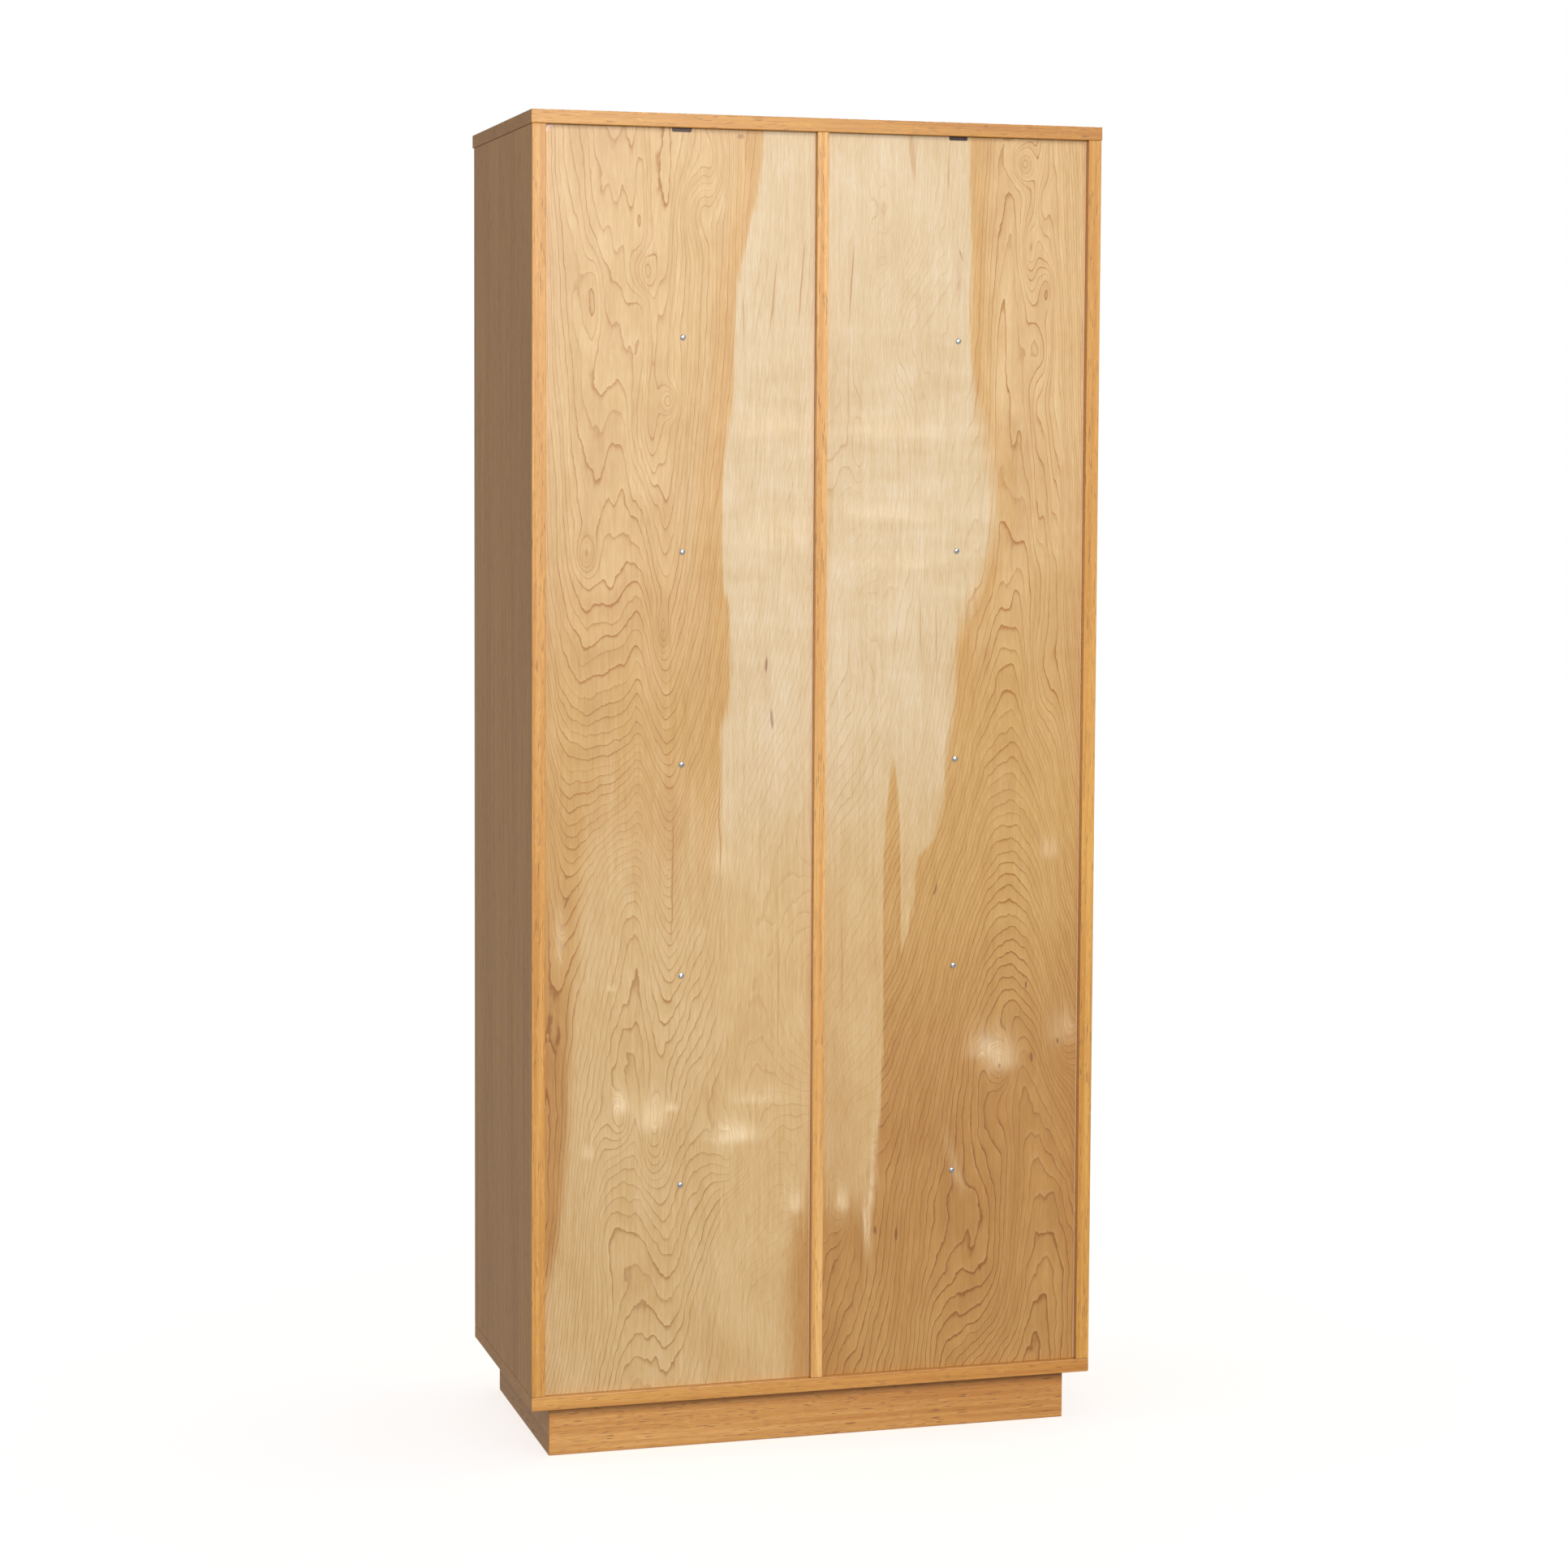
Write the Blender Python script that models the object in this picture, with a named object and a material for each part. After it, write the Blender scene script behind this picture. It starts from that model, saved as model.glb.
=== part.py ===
"""Tall two-bay oak-veneer cabinet on a recessed plinth, with plywood backs and two inset doors.

Metres, +Z up. The doors face -Y, the plywood backs face +Y, and the floor is at Z = 0.
Left and right are those of a person who faces the doors, so left is -X.
The origin is on the floor, at the middle of the object's bounding box.
"""

import math

import bmesh
import bpy
from mathutils import Matrix, Vector

# Driving dimensions of the case
HEIGHT = 1.924
WIDTH = 0.850
CASE_DEPTH = 0.432
BOARD = 0.0195
SIDE_BOARD = 0.020
DIVIDER_BOARD = 0.017
TOP_FRONT_OVERHANG = 0.007
TOP_SIDE_OVERHANG = 0.001
EASED_EDGE = 0.001
SEAM = 0.0003

# Plinth: how far it stands back from the case, and its boards
PLINTH_HEIGHT = 0.0745
PLINTH_BOARD = 0.019
PLINTH_SIDE_INSET = 0.031
PLINTH_BACK_INSET = 0.028
PLINTH_FRONT_INSET = 0.040

# Shelves: five in each bay, which makes six equal compartments
SHELF_COUNT = 5
HOUSING_DEPTH = 0.005
SHELF_SETBACK = 0.004

# Plywood backs
PLY = 0.006
BACK_RECESS = 0.010
CHIP_SIZE = 0.015
CHIP_DEPTH = 0.0012
NOTCH_WIDTH = 0.0282
NOTCH_DEPTH = 0.0057

# Steel clip that holds the back at its notch
CLIP_WIDTH = 0.0270
CLIP_LIP = 0.0050
CLIP_STEEL = 0.0020
CLIP_LENGTH = 0.038

# Pan-head screws through the backs into the shelves
SCREW_HEAD_RADIUS = 0.0043
SCREW_HEAD_HEIGHT = 0.0026
SCREW_SHANK_RADIUS = 0.0020
SCREW_LENGTH = 0.025
SCREW_LINE_SHIFT = 0.0025

# Doors
DOOR_BOARD = 0.0195
HINGE_GAP = 0.0024
DOOR_GAP = 0.0020

# Butt hinges: three to a door, with five knuckles
HINGE_COUNT = 3
HINGE_END_OFFSET = 0.150
HINGE_LENGTH = 0.064
LEAF_WIDTH = 0.018
LEAF_STEEL = 0.0015
KNUCKLE_RADIUS = 0.0030
KNUCKLE_BORE = 0.0015
PIN_RADIUS = 0.0012
KNUCKLE_COUNT = 5
BARREL_STANDOFF = 0.0034

# Knobs
KNOB_REACH = 0.026
KNOB_RADIUS = 0.0145
KNOB_INSET = 0.040
KNOB_HEIGHT = 1.020
STUD_RADIUS = 0.0025
STUD_LENGTH = 0.012

# Magnetic catches
CATCH_WIDTH = 0.046
CATCH_HEIGHT = 0.014
CATCH_DEPTH = 0.016
CATCH_INSET = 0.060
STRIKE_WIDTH = 0.038
STRIKE_HEIGHT = 0.011
STRIKE_STEEL = 0.0012

# Planes worked out from the driving dimensions
BACK_Y = (CASE_DEPTH + KNOB_REACH) / 2
FRONT_Y = BACK_Y - CASE_DEPTH
FLOOR_BOARD_TOP = PLINTH_HEIGHT + BOARD
CEILING = HEIGHT - BOARD
HALF_WIDTH = WIDTH / 2
SIDE_FACE = HALF_WIDTH - SIDE_BOARD
DIVIDER_FACE = DIVIDER_BOARD / 2
PANEL_BACK_Y = BACK_Y - BACK_RECESS
PANEL_FRONT_Y = PANEL_BACK_Y - PLY
SHELF_FRONT_Y = FRONT_Y + DOOR_BOARD + SHELF_SETBACK
SHELF_BACK_Y = PANEL_FRONT_Y - SEAM
BAY_CENTRE = (SIDE_FACE + DIVIDER_FACE) / 2
COMPARTMENT = (CEILING - FLOOR_BOARD_TOP - SHELF_COUNT * BOARD) / (SHELF_COUNT + 1)
HINGE_AXIS_X = SIDE_FACE - HINGE_GAP / 2
HINGE_AXIS_Y = FRONT_Y - BARREL_STANDOFF
DOOR_LOW = FLOOR_BOARD_TOP + DOOR_GAP
DOOR_HIGH = CEILING - DOOR_GAP
SHELF_LEVELS = [
    FLOOR_BOARD_TOP + (i + 1) * COMPARTMENT + (i + 0.5) * BOARD for i in range(SHELF_COUNT)
]
HINGE_LEVELS = [
    DOOR_LOW + HINGE_END_OFFSET + i * (DOOR_HIGH - DOOR_LOW - 2 * HINGE_END_OFFSET) / (HINGE_COUNT - 1)
    for i in range(HINGE_COUNT)
]
BAYS = {"left": -1, "right": 1}


def clear_scene():
    """Remove every object, so that the file holds this model only."""
    for obj in list(bpy.data.objects):
        bpy.data.objects.remove(obj, do_unlink=True)


def finish(name, colour, roughness, metallic=0.0):
    """A Principled material of one colour."""
    material = bpy.data.materials.new(name)
    material.use_nodes = True
    shader = material.node_tree.nodes["Principled BSDF"]
    shader.inputs["Base Color"].default_value = (*colour, 1.0)
    shader.inputs["Roughness"].default_value = roughness
    shader.inputs["Metallic"].default_value = metallic
    return material


def finishes():
    """The materials of the cabinet, by name."""
    return {
        "oak": finish("oak_veneer", (0.72, 0.45, 0.20), 0.50),
        "plinth": finish("oak_plinth", (0.60, 0.33, 0.14), 0.55),
        "birch": finish("birch_ply", (0.78, 0.58, 0.34), 0.45),
        "zinc": finish("bright_zinc", (0.78, 0.80, 0.83), 0.25, 1.0),
        "bronze": finish("dark_bronze", (0.13, 0.10, 0.10), 0.35, 1.0),
        "plastic": finish("catch_plastic", (0.16, 0.12, 0.10), 0.55),
    }


def add_object(name, bm, material=None):
    """Put a bmesh into the scene as an object with its material."""
    mesh = bpy.data.meshes.new(name)
    bm.to_mesh(mesh)
    bm.free()
    obj = bpy.data.objects.new(name, mesh)
    bpy.context.scene.collection.objects.link(obj)
    if material:
        mesh.materials.append(material)
    return obj


def bevel_all(bm, width, segments):
    """Ease every edge of a bmesh."""
    bmesh.ops.bevel(
        bm,
        geom=list(bm.edges),
        offset=width,
        segments=segments,
        profile=0.5,
        affect="EDGES",
        material=-1,
    )


def block(low, high, eased=0.0, segments=1):
    """A bmesh box between two corners, with eased edges if asked."""
    bm = bmesh.new()
    bmesh.ops.create_cube(bm, size=1.0)
    size = Vector(high) - Vector(low)
    middle = (Vector(high) + Vector(low)) / 2
    bmesh.ops.scale(bm, vec=size, verts=bm.verts)
    bmesh.ops.translate(bm, vec=middle, verts=bm.verts)
    if eased:
        bevel_all(bm, eased, segments)
    return bm


def prism(outline, start, depth):
    """Extrude a closed outline of 3-D points, moved by a start vector, along a depth vector."""
    bm = bmesh.new()
    bottom = [bm.verts.new(Vector(point) + Vector(start)) for point in outline]
    face = bm.faces.new(bottom)
    extruded = bmesh.ops.extrude_face_region(bm, geom=[face], use_keep_orig=True)
    top = [item for item in extruded["geom"] if isinstance(item, bmesh.types.BMVert)]
    bmesh.ops.translate(bm, vec=depth, verts=top)
    bmesh.ops.recalc_face_normals(bm, faces=bm.faces)
    return bm


def turned(profile, steps, matrix):
    """Turn a profile of (radius, height) points about Z, and place it by a matrix."""
    bm = bmesh.new()
    verts = [bm.verts.new((radius, 0.0, height)) for radius, height in profile]
    for first, second in zip(verts, verts[1:]):
        bm.edges.new((first, second))
    bmesh.ops.spin(
        bm,
        geom=bm.verts[:] + bm.edges[:],
        cent=(0, 0, 0),
        axis=(0, 0, 1),
        angle=2 * math.pi,
        steps=steps,
        use_merge=True,
    )
    bmesh.ops.remove_doubles(bm, verts=bm.verts, dist=1e-6)
    bmesh.ops.recalc_face_normals(bm, faces=bm.faces)
    bmesh.ops.transform(bm, matrix=matrix, verts=bm.verts)
    return bm


def rod(radius, low, high, steps, matrix):
    """A plain cylinder from one height to another along the matrix's Z axis."""
    return turned([(0, low), (radius, low), (radius, high), (0, high)], steps, matrix)


def joined(pieces):
    """One bmesh that holds several separate closed pieces."""
    result = bmesh.new()
    for piece in pieces:
        mesh = bpy.data.meshes.new("scratch")
        piece.to_mesh(mesh)
        piece.free()
        result.from_mesh(mesh)
        bpy.data.meshes.remove(mesh)
    return result


def shape_with(obj, bm, operation):
    """Cut, or add to, an object with a helper that isn't a part of the cabinet."""
    helper = add_object(f"{obj.name}_{operation.lower()}_{len(obj.modifiers)}", bm)
    helper.hide_render = True
    helper.display_type = "WIRE"
    modifier = obj.modifiers.new(operation.title(), "BOOLEAN")
    modifier.operation = operation
    modifier.solver = "EXACT"
    modifier.object = helper


def smooth(obj, angle_deg=35):
    """Shade a turned piece smooth, with its corners kept sharp."""
    obj.data.shade_smooth()
    obj.data.set_sharp_from_angle(angle=math.radians(angle_deg))


def along_y(x, y, z, sign):
    """A matrix that lays local +Z along +Y or -Y and moves the origin to a point."""
    return Matrix.Translation((x, y, z)) @ Matrix.Rotation(-sign * math.pi / 2, 4, "X")


def housing(side_sign, inner_face, level):
    """The pocket for one shelf end: it opens on a board's inner face."""
    open_x = inner_face - side_sign * 0.002
    floor_x = inner_face + side_sign * (HOUSING_DEPTH + SEAM)
    low = (min(open_x, floor_x), SHELF_FRONT_Y - SEAM, level - BOARD / 2 - SEAM)
    high = (max(open_x, floor_x), SHELF_BACK_Y + SEAM, level + BOARD / 2 + SEAM)
    return block(low, high)


def hinge_leaf_box(sign, outer, level, grow=0.0):
    """Low and high corners of one leaf's plate; outer is 1 on the case and -1 on the door."""
    near = HINGE_AXIS_X + outer * (HINGE_GAP / 2 - SEAM)
    far = near + outer * (LEAF_STEEL + grow)
    near -= outer * (0.004 if grow else 0.0)
    front = HINGE_AXIS_Y + KNUCKLE_RADIUS + SEAM - (0.004 if grow else 0.0)
    back = FRONT_Y + LEAF_WIDTH + grow
    low_x, high_x = sorted((sign * near, sign * far))
    half = HINGE_LENGTH / 2 + grow
    return (low_x, front, level - half), (high_x, back, level + half)


def make_horizontal_boards(looks):
    """The top, which caps the sides, and the bottom, on which they stand."""
    top = block(
        (-HALF_WIDTH - TOP_SIDE_OVERHANG, FRONT_Y - TOP_FRONT_OVERHANG, CEILING),
        (HALF_WIDTH + TOP_SIDE_OVERHANG, BACK_Y, HEIGHT),
        EASED_EDGE,
        2,
    )
    add_object("top_board", top, looks["oak"])
    bottom = block(
        (-HALF_WIDTH, FRONT_Y, PLINTH_HEIGHT),
        (HALF_WIDTH, BACK_Y, FLOOR_BOARD_TOP),
        EASED_EDGE,
        2,
    )
    add_object("bottom_board", bottom, looks["oak"])


def make_upright_boards(looks):
    """The two sides and the divider, with housings for the shelves and mortises for the hinges."""
    low_z = FLOOR_BOARD_TOP + SEAM
    high_z = CEILING - SEAM
    for bay, sign in BAYS.items():
        inner, outer = sorted((sign * SIDE_FACE, sign * HALF_WIDTH))
        board = block((inner, FRONT_Y, low_z), (outer, BACK_Y, high_z), EASED_EDGE, 2)
        side = add_object(f"side_{bay}", board, looks["oak"])
        pockets = [housing(sign, sign * SIDE_FACE, level) for level in SHELF_LEVELS]
        pockets += [block(*hinge_leaf_box(sign, 1, level, SEAM)) for level in HINGE_LEVELS]
        shape_with(side, joined(pockets), "DIFFERENCE")
    divider_board = block(
        (-DIVIDER_FACE, FRONT_Y, low_z), (DIVIDER_FACE, BACK_Y, high_z), EASED_EDGE, 2
    )
    divider = add_object("divider", divider_board, looks["oak"])
    pockets = [housing(-sign, sign * DIVIDER_FACE, level) for sign in (-1, 1) for level in SHELF_LEVELS]
    shape_with(divider, joined(pockets), "DIFFERENCE")


def make_plinth(looks):
    """Four mitred boards and a middle rail below the divider."""
    x = HALF_WIDTH - PLINTH_SIDE_INSET
    back = BACK_Y - PLINTH_BACK_INSET
    front = FRONT_Y + PLINTH_FRONT_INSET
    t = PLINTH_BOARD
    g = SEAM
    height = Vector((0, 0, PLINTH_HEIGHT - SEAM))
    outlines = {
        "plinth_back": [(-x + g, back), (-x + t + g, back - t), (x - t - g, back - t), (x - g, back)],
        "plinth_front": [(x - g, front), (x - t - g, front + t), (-x + t + g, front + t), (-x + g, front)],
        "plinth_right": [(x, back - g), (x - t, back - t - g), (x - t, front + t + g), (x, front + g)],
        "plinth_left": [(-x, front + g), (-x + t, front + t + g), (-x + t, back - t - g), (-x, back - g)],
    }
    for name, outline in outlines.items():
        board = prism([(px, py, 0.0) for px, py in outline], (0, 0, 0), height)
        bevel_all(board, EASED_EDGE, 2)
        add_object(name, board, looks["plinth"])
    rail = block((-t / 2, front + t + g, 0.0), (t / 2, back - t - g, height.z), EASED_EDGE)
    add_object("plinth_rail", rail, looks["plinth"])


def make_shelves(looks):
    """Ten fixed shelves, with a pilot hole in each back edge."""
    for bay, sign in BAYS.items():
        ends = sorted((sign * (DIVIDER_FACE - HOUSING_DEPTH), sign * (SIDE_FACE + HOUSING_DEPTH)))
        for number, level in enumerate(SHELF_LEVELS, 1):
            low = (ends[0], SHELF_FRONT_Y, level - BOARD / 2)
            high = (ends[1], SHELF_BACK_Y, level + BOARD / 2)
            shelf = add_object(f"shelf_{bay}_{number}", block(low, high, EASED_EDGE), looks["oak"])
            hole_end = PLY + SCREW_LENGTH
            place = along_y(screw_x(sign), PANEL_BACK_Y, level, -1)
            hole = rod(SCREW_SHANK_RADIUS + SEAM, PLY - 0.003, hole_end, 12, place)
            shape_with(shelf, hole, "DIFFERENCE")


def screw_x(sign):
    """Where a bay's line of screws stands: a little off the bay's centre line."""
    return sign * BAY_CENTRE - SCREW_LINE_SHIFT


def notch_outline(width, depth, corner):
    """Points (across, up) of a notch with two rounded lower corners, from its top left corner."""
    points = [(-width / 2, 0.0)]
    for side, first in ((-1, 0), (1, 90)):
        for step in range(4):
            angle = math.radians(first + 30 * step)
            across = side * (width / 2 - corner) - corner * math.cos(angle)
            points.append((across, -depth + corner - corner * math.sin(angle)))
    points.append((width / 2, 0.0))
    return points


def make_backs(looks):
    """Two plywood backs with their screw holes, the notch for the clip and one chipped corner."""
    for bay, sign in BAYS.items():
        edges = sorted((sign * (DIVIDER_FACE + SEAM), sign * (SIDE_FACE - SEAM)))
        low = (edges[0], PANEL_FRONT_Y, FLOOR_BOARD_TOP + SEAM)
        high = (edges[1], PANEL_BACK_Y, CEILING - SEAM)
        back = add_object(f"back_panel_{bay}", block(low, high), looks["birch"])
        cuts = []
        for level in SHELF_LEVELS:
            place = along_y(screw_x(sign), PANEL_BACK_Y, level, -1)
            cuts.append(rod(SCREW_SHANK_RADIUS + SEAM, -0.001, PLY + 0.001, 12, place))
        notch = notch_outline(NOTCH_WIDTH, NOTCH_DEPTH + 0.002, 0.0022)
        outline = [(sign * BAY_CENTRE + across, 0.0, CEILING + 0.002 + down) for across, down in notch]
        cuts.append(prism(outline, (0, PANEL_FRONT_Y - 0.001, 0), Vector((0, PLY + 0.002, 0))))
        if sign > 0:
            cuts.append(corner_chip())
        shape_with(back, joined(cuts), "DIFFERENCE")


def corner_chip():
    """The cutter for a triangle of face veneer broken off a back's top outer corner."""
    margin = 0.002
    x = SIDE_FACE + margin
    z = CEILING + margin
    reach = CHIP_SIZE + 2 * margin
    outline = [(x, 0, z), (x - reach, 0, z), (x - reach * 0.55, 0, z - reach * 0.35), (x, 0, z - reach)]
    return prism(outline, (0, PANEL_BACK_Y - CHIP_DEPTH, 0), Vector((0, CHIP_DEPTH + 0.001, 0)))


def make_back_screws(looks):
    """Pan-head screws with a cross recess, one into each shelf."""
    r = SCREW_HEAD_RADIUS
    h = SCREW_HEAD_HEIGHT
    s = SCREW_SHANK_RADIUS
    profile = [
        (0, -SCREW_LENGTH),
        (s, -SCREW_LENGTH + 0.006),
        (s, 0),
        (r, 0),
        (r, h * 0.40),
        (r * 0.88, h * 0.80),
        (r * 0.50, h),
        (0, h),
    ]
    arm = 0.0021
    web = 0.00045
    cross = [(arm, web), (web, web), (web, arm), (-web, arm), (-web, web), (-arm, web)]
    cross += [(-across, -up) for across, up in cross]
    for bay, sign in BAYS.items():
        for number, level in enumerate(SHELF_LEVELS, 1):
            turn = Matrix.Rotation(math.radians(37 * number + 20 * sign), 4, "Z")
            place = along_y(screw_x(sign), PANEL_BACK_Y + SEAM, level, 1) @ turn
            name = f"back_screw_{bay}_{number}"
            screw = add_object(name, turned(profile, 12, place), looks["zinc"])
            recess = prism([(a, b, 0) for a, b in cross], (0, 0, h * 0.35), Vector((0, 0, h)))
            bmesh.ops.transform(recess, matrix=place, verts=recess.verts)
            shape_with(screw, recess, "DIFFERENCE")
            smooth(screw)


def make_panel_clips(looks):
    """Bent steel clips under the top, whose lips stand in the notches of the backs."""
    top = CEILING - SEAM
    for bay, sign in BAYS.items():
        lip = notch_outline(CLIP_WIDTH, CLIP_LIP, 0.0018)
        outline = [(sign * BAY_CENTRE + across, 0.0, top + down) for across, down in lip]
        front = PANEL_BACK_Y - CLIP_STEEL
        lip_body = prism(outline, (0, front, 0), Vector((0, CLIP_STEEL, 0)))
        clip = add_object(f"panel_clip_{bay}", lip_body, looks["bronze"])
        leg = block(
            (sign * BAY_CENTRE - CLIP_WIDTH / 2 + 0.001, PANEL_BACK_Y - CLIP_LENGTH, top - CLIP_STEEL),
            (sign * BAY_CENTRE + CLIP_WIDTH / 2 - 0.001, PANEL_BACK_Y - CLIP_STEEL / 2, top - SEAM),
        )
        shape_with(clip, leg, "UNION")


def make_doors(looks):
    """Two flush doors, with mortises for the hinges and a hole for the knob's stud."""
    for bay, sign in BAYS.items():
        hinge_edge = sign * (SIDE_FACE - HINGE_GAP)
        free_edge = sign * (DIVIDER_FACE + DOOR_GAP)
        low_x, high_x = sorted((hinge_edge, free_edge))
        leaf = block((low_x, FRONT_Y, DOOR_LOW), (high_x, FRONT_Y + DOOR_BOARD, DOOR_HIGH), EASED_EDGE, 2)
        door = add_object(f"door_{bay}", leaf, looks["oak"])
        cuts = [block(*hinge_leaf_box(sign, -1, level, SEAM)) for level in HINGE_LEVELS]
        stud = along_y(knob_x(sign), FRONT_Y, KNOB_HEIGHT, 1)
        cuts.append(rod(STUD_RADIUS + SEAM, -0.001, STUD_LENGTH + SEAM, 12, stud))
        shape_with(door, joined(cuts), "DIFFERENCE")


def knob_x(sign):
    """Where a door's knob stands, measured from its free edge."""
    return sign * (DIVIDER_FACE + DOOR_GAP + KNOB_INSET)


def make_knobs(looks):
    """Turned knobs, each on a stud that is screwed into its door."""
    r = KNOB_RADIUS
    reach = KNOB_REACH
    profile = [
        (0, -STUD_LENGTH),
        (STUD_RADIUS, -STUD_LENGTH),
        (STUD_RADIUS, SEAM),
        (r * 0.62, SEAM),
        (r * 0.62, 0.0022),
        (r * 0.40, 0.0060),
        (r * 0.42, 0.0110),
        (r * 0.80, 0.0152),
        (r, 0.0195),
        (r * 0.92, 0.0230),
        (r * 0.60, reach - 0.0008),
        (0, reach),
    ]
    for bay, sign in BAYS.items():
        place = along_y(knob_x(sign), FRONT_Y, KNOB_HEIGHT, -1)
        knob = add_object(f"knob_{bay}", turned(profile, 18, place), looks["bronze"])
        smooth(knob, 40)


def knuckle(sign, level, index):
    """One knuckle of a hinge, as a bored sleeve on the hinge's axis."""
    pitch = (HINGE_LENGTH + SEAM) / KNUCKLE_COUNT
    low = level - HINGE_LENGTH / 2 + index * pitch
    high = low + pitch - SEAM
    profile = [
        (KNUCKLE_BORE, low),
        (KNUCKLE_RADIUS, low),
        (KNUCKLE_RADIUS, high),
        (KNUCKLE_BORE, high),
        (KNUCKLE_BORE, low),
    ]
    place = Matrix.Translation((sign * HINGE_AXIS_X, HINGE_AXIS_Y, 0))
    return turned(profile, 12, place), low, high


def make_hinge_leaf(name, sign, outer, level, indices, looks):
    """A leaf: a plate let into the wood, and the knuckles that are curled from it."""
    plate_low, plate_high = hinge_leaf_box(sign, outer, level)
    leaf = add_object(name, block(plate_low, plate_high), looks["bronze"])
    for index in indices:
        sleeve, low, high = knuckle(sign, level, index)
        shape_with(leaf, sleeve, "UNION")
        tongue_front = HINGE_AXIS_Y + KNUCKLE_BORE + 0.0004
        tongue = block(
            (plate_low[0], tongue_front, low), (plate_high[0], plate_low[1] + 0.002, high)
        )
        shape_with(leaf, tongue, "UNION")
    smooth(leaf)
    return leaf


def make_hinges(looks):
    """Three butt hinges to a door: a case leaf, a door leaf and a ball-tipped pin."""
    tip = HINGE_LENGTH / 2 + SEAM
    ball = 0.0024
    for bay, sign in BAYS.items():
        for number, level in enumerate(HINGE_LEVELS, 1):
            case_knuckles = range(0, KNUCKLE_COUNT, 2)
            door_knuckles = range(1, KNUCKLE_COUNT, 2)
            make_hinge_leaf(f"hinge_{bay}_{number}_case_leaf", sign, 1, level, case_knuckles, looks)
            make_hinge_leaf(f"hinge_{bay}_{number}_door_leaf", sign, -1, level, door_knuckles, looks)
            profile = [(0, -tip - ball * 1.7)]
            profile += [(ball * 0.7, -tip - ball * 1.5), (ball, -tip - ball * 0.8), (ball * 0.8, -tip)]
            profile += [(PIN_RADIUS, -tip), (PIN_RADIUS, tip)]
            profile += [(radius, -height) for radius, height in reversed(profile[:4])]
            place = Matrix.Translation((sign * HINGE_AXIS_X, HINGE_AXIS_Y, level))
            pin = add_object(f"hinge_{bay}_{number}_pin", turned(profile, 10, place), looks["bronze"])
            smooth(pin, 50)


def make_catches(looks):
    """A magnetic catch under the top for each door, and the strike plate that it holds."""
    catch_front = FRONT_Y + DOOR_BOARD + SEAM + STRIKE_STEEL + SEAM
    catch_top = CEILING - SEAM
    middle_z = catch_top - CATCH_HEIGHT / 2
    for bay, sign in BAYS.items():
        x = sign * (DIVIDER_FACE + CATCH_INSET)
        half = CATCH_WIDTH / 2
        catch_body = block(
            (x - half, catch_front, catch_top - CATCH_HEIGHT),
            (x + half, catch_front + CATCH_DEPTH, catch_top),
            0.0015,
            2,
        )
        add_object(f"catch_{bay}", catch_body, looks["plastic"])
        strike_low = (x - STRIKE_WIDTH / 2, FRONT_Y + DOOR_BOARD + SEAM, middle_z - STRIKE_HEIGHT / 2)
        strike_high = (x + STRIKE_WIDTH / 2, catch_front - SEAM, middle_z + STRIKE_HEIGHT / 2)
        add_object(f"strike_plate_{bay}", block(strike_low, strike_high, 0.0003), looks["zinc"])


def hang_doors():
    """Parent each door, with all that is fixed to it, to an empty on its hinge axis."""
    for bay, sign in BAYS.items():
        axis = bpy.data.objects.new(f"{bay}_door_axis", None)
        axis.location = (sign * HINGE_AXIS_X, HINGE_AXIS_Y, 0.0)
        bpy.context.scene.collection.objects.link(axis)
        names = [f"door_{bay}", f"knob_{bay}", f"strike_plate_{bay}"]
        names += [f"hinge_{bay}_{number}_door_leaf" for number in range(1, HINGE_COUNT + 1)]
        for name in names:
            piece = bpy.data.objects[name]
            piece.parent = axis
            piece.matrix_parent_inverse = Matrix.Translation(-axis.location)


def main():
    """Build every piece of the cabinet."""
    clear_scene()
    looks = finishes()
    make_horizontal_boards(looks)
    make_upright_boards(looks)
    make_plinth(looks)
    make_shelves(looks)
    make_backs(looks)
    make_back_screws(looks)
    make_panel_clips(looks)
    make_doors(looks)
    make_knobs(looks)
    make_hinges(looks)
    make_catches(looks)
    hang_doors()


main()
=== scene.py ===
"""Looks of a tall two-bay oak cabinet with plywood backs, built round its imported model.

Metres, +Z up. The doors face -Y and the plywood backs face +Y. "Across" on a back panel runs to the
right as seen from behind, from the panel's middle; "level" is the height above the floor.
"""

from __future__ import annotations

import logging
import math
from dataclasses import dataclass, field
from enum import Enum
from typing import Any, Iterable, Mapping, Sequence

import bmesh
import bpy
from mathutils import Matrix, Vector


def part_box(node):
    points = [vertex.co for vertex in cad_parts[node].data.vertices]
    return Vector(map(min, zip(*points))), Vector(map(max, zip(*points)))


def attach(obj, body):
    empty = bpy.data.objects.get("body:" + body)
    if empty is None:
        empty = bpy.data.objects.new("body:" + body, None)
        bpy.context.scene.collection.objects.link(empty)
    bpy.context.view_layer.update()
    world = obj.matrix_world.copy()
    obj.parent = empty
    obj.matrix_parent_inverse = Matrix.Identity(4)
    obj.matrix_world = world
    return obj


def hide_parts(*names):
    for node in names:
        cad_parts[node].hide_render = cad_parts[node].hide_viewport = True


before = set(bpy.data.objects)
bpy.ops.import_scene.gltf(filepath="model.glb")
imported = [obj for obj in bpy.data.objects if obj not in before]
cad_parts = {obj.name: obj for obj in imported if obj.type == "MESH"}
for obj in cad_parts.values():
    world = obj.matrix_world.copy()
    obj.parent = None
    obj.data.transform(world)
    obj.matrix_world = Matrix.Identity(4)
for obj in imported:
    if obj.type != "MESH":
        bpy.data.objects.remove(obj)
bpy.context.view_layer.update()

logger = logging.getLogger("cabinet")

Colour = tuple[float, float, float]
Point = tuple[float, float, float]

CASE = "case"
BAYS = {"left": -1.0, "right": 1.0}
TURN = 2.0 * math.pi
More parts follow.
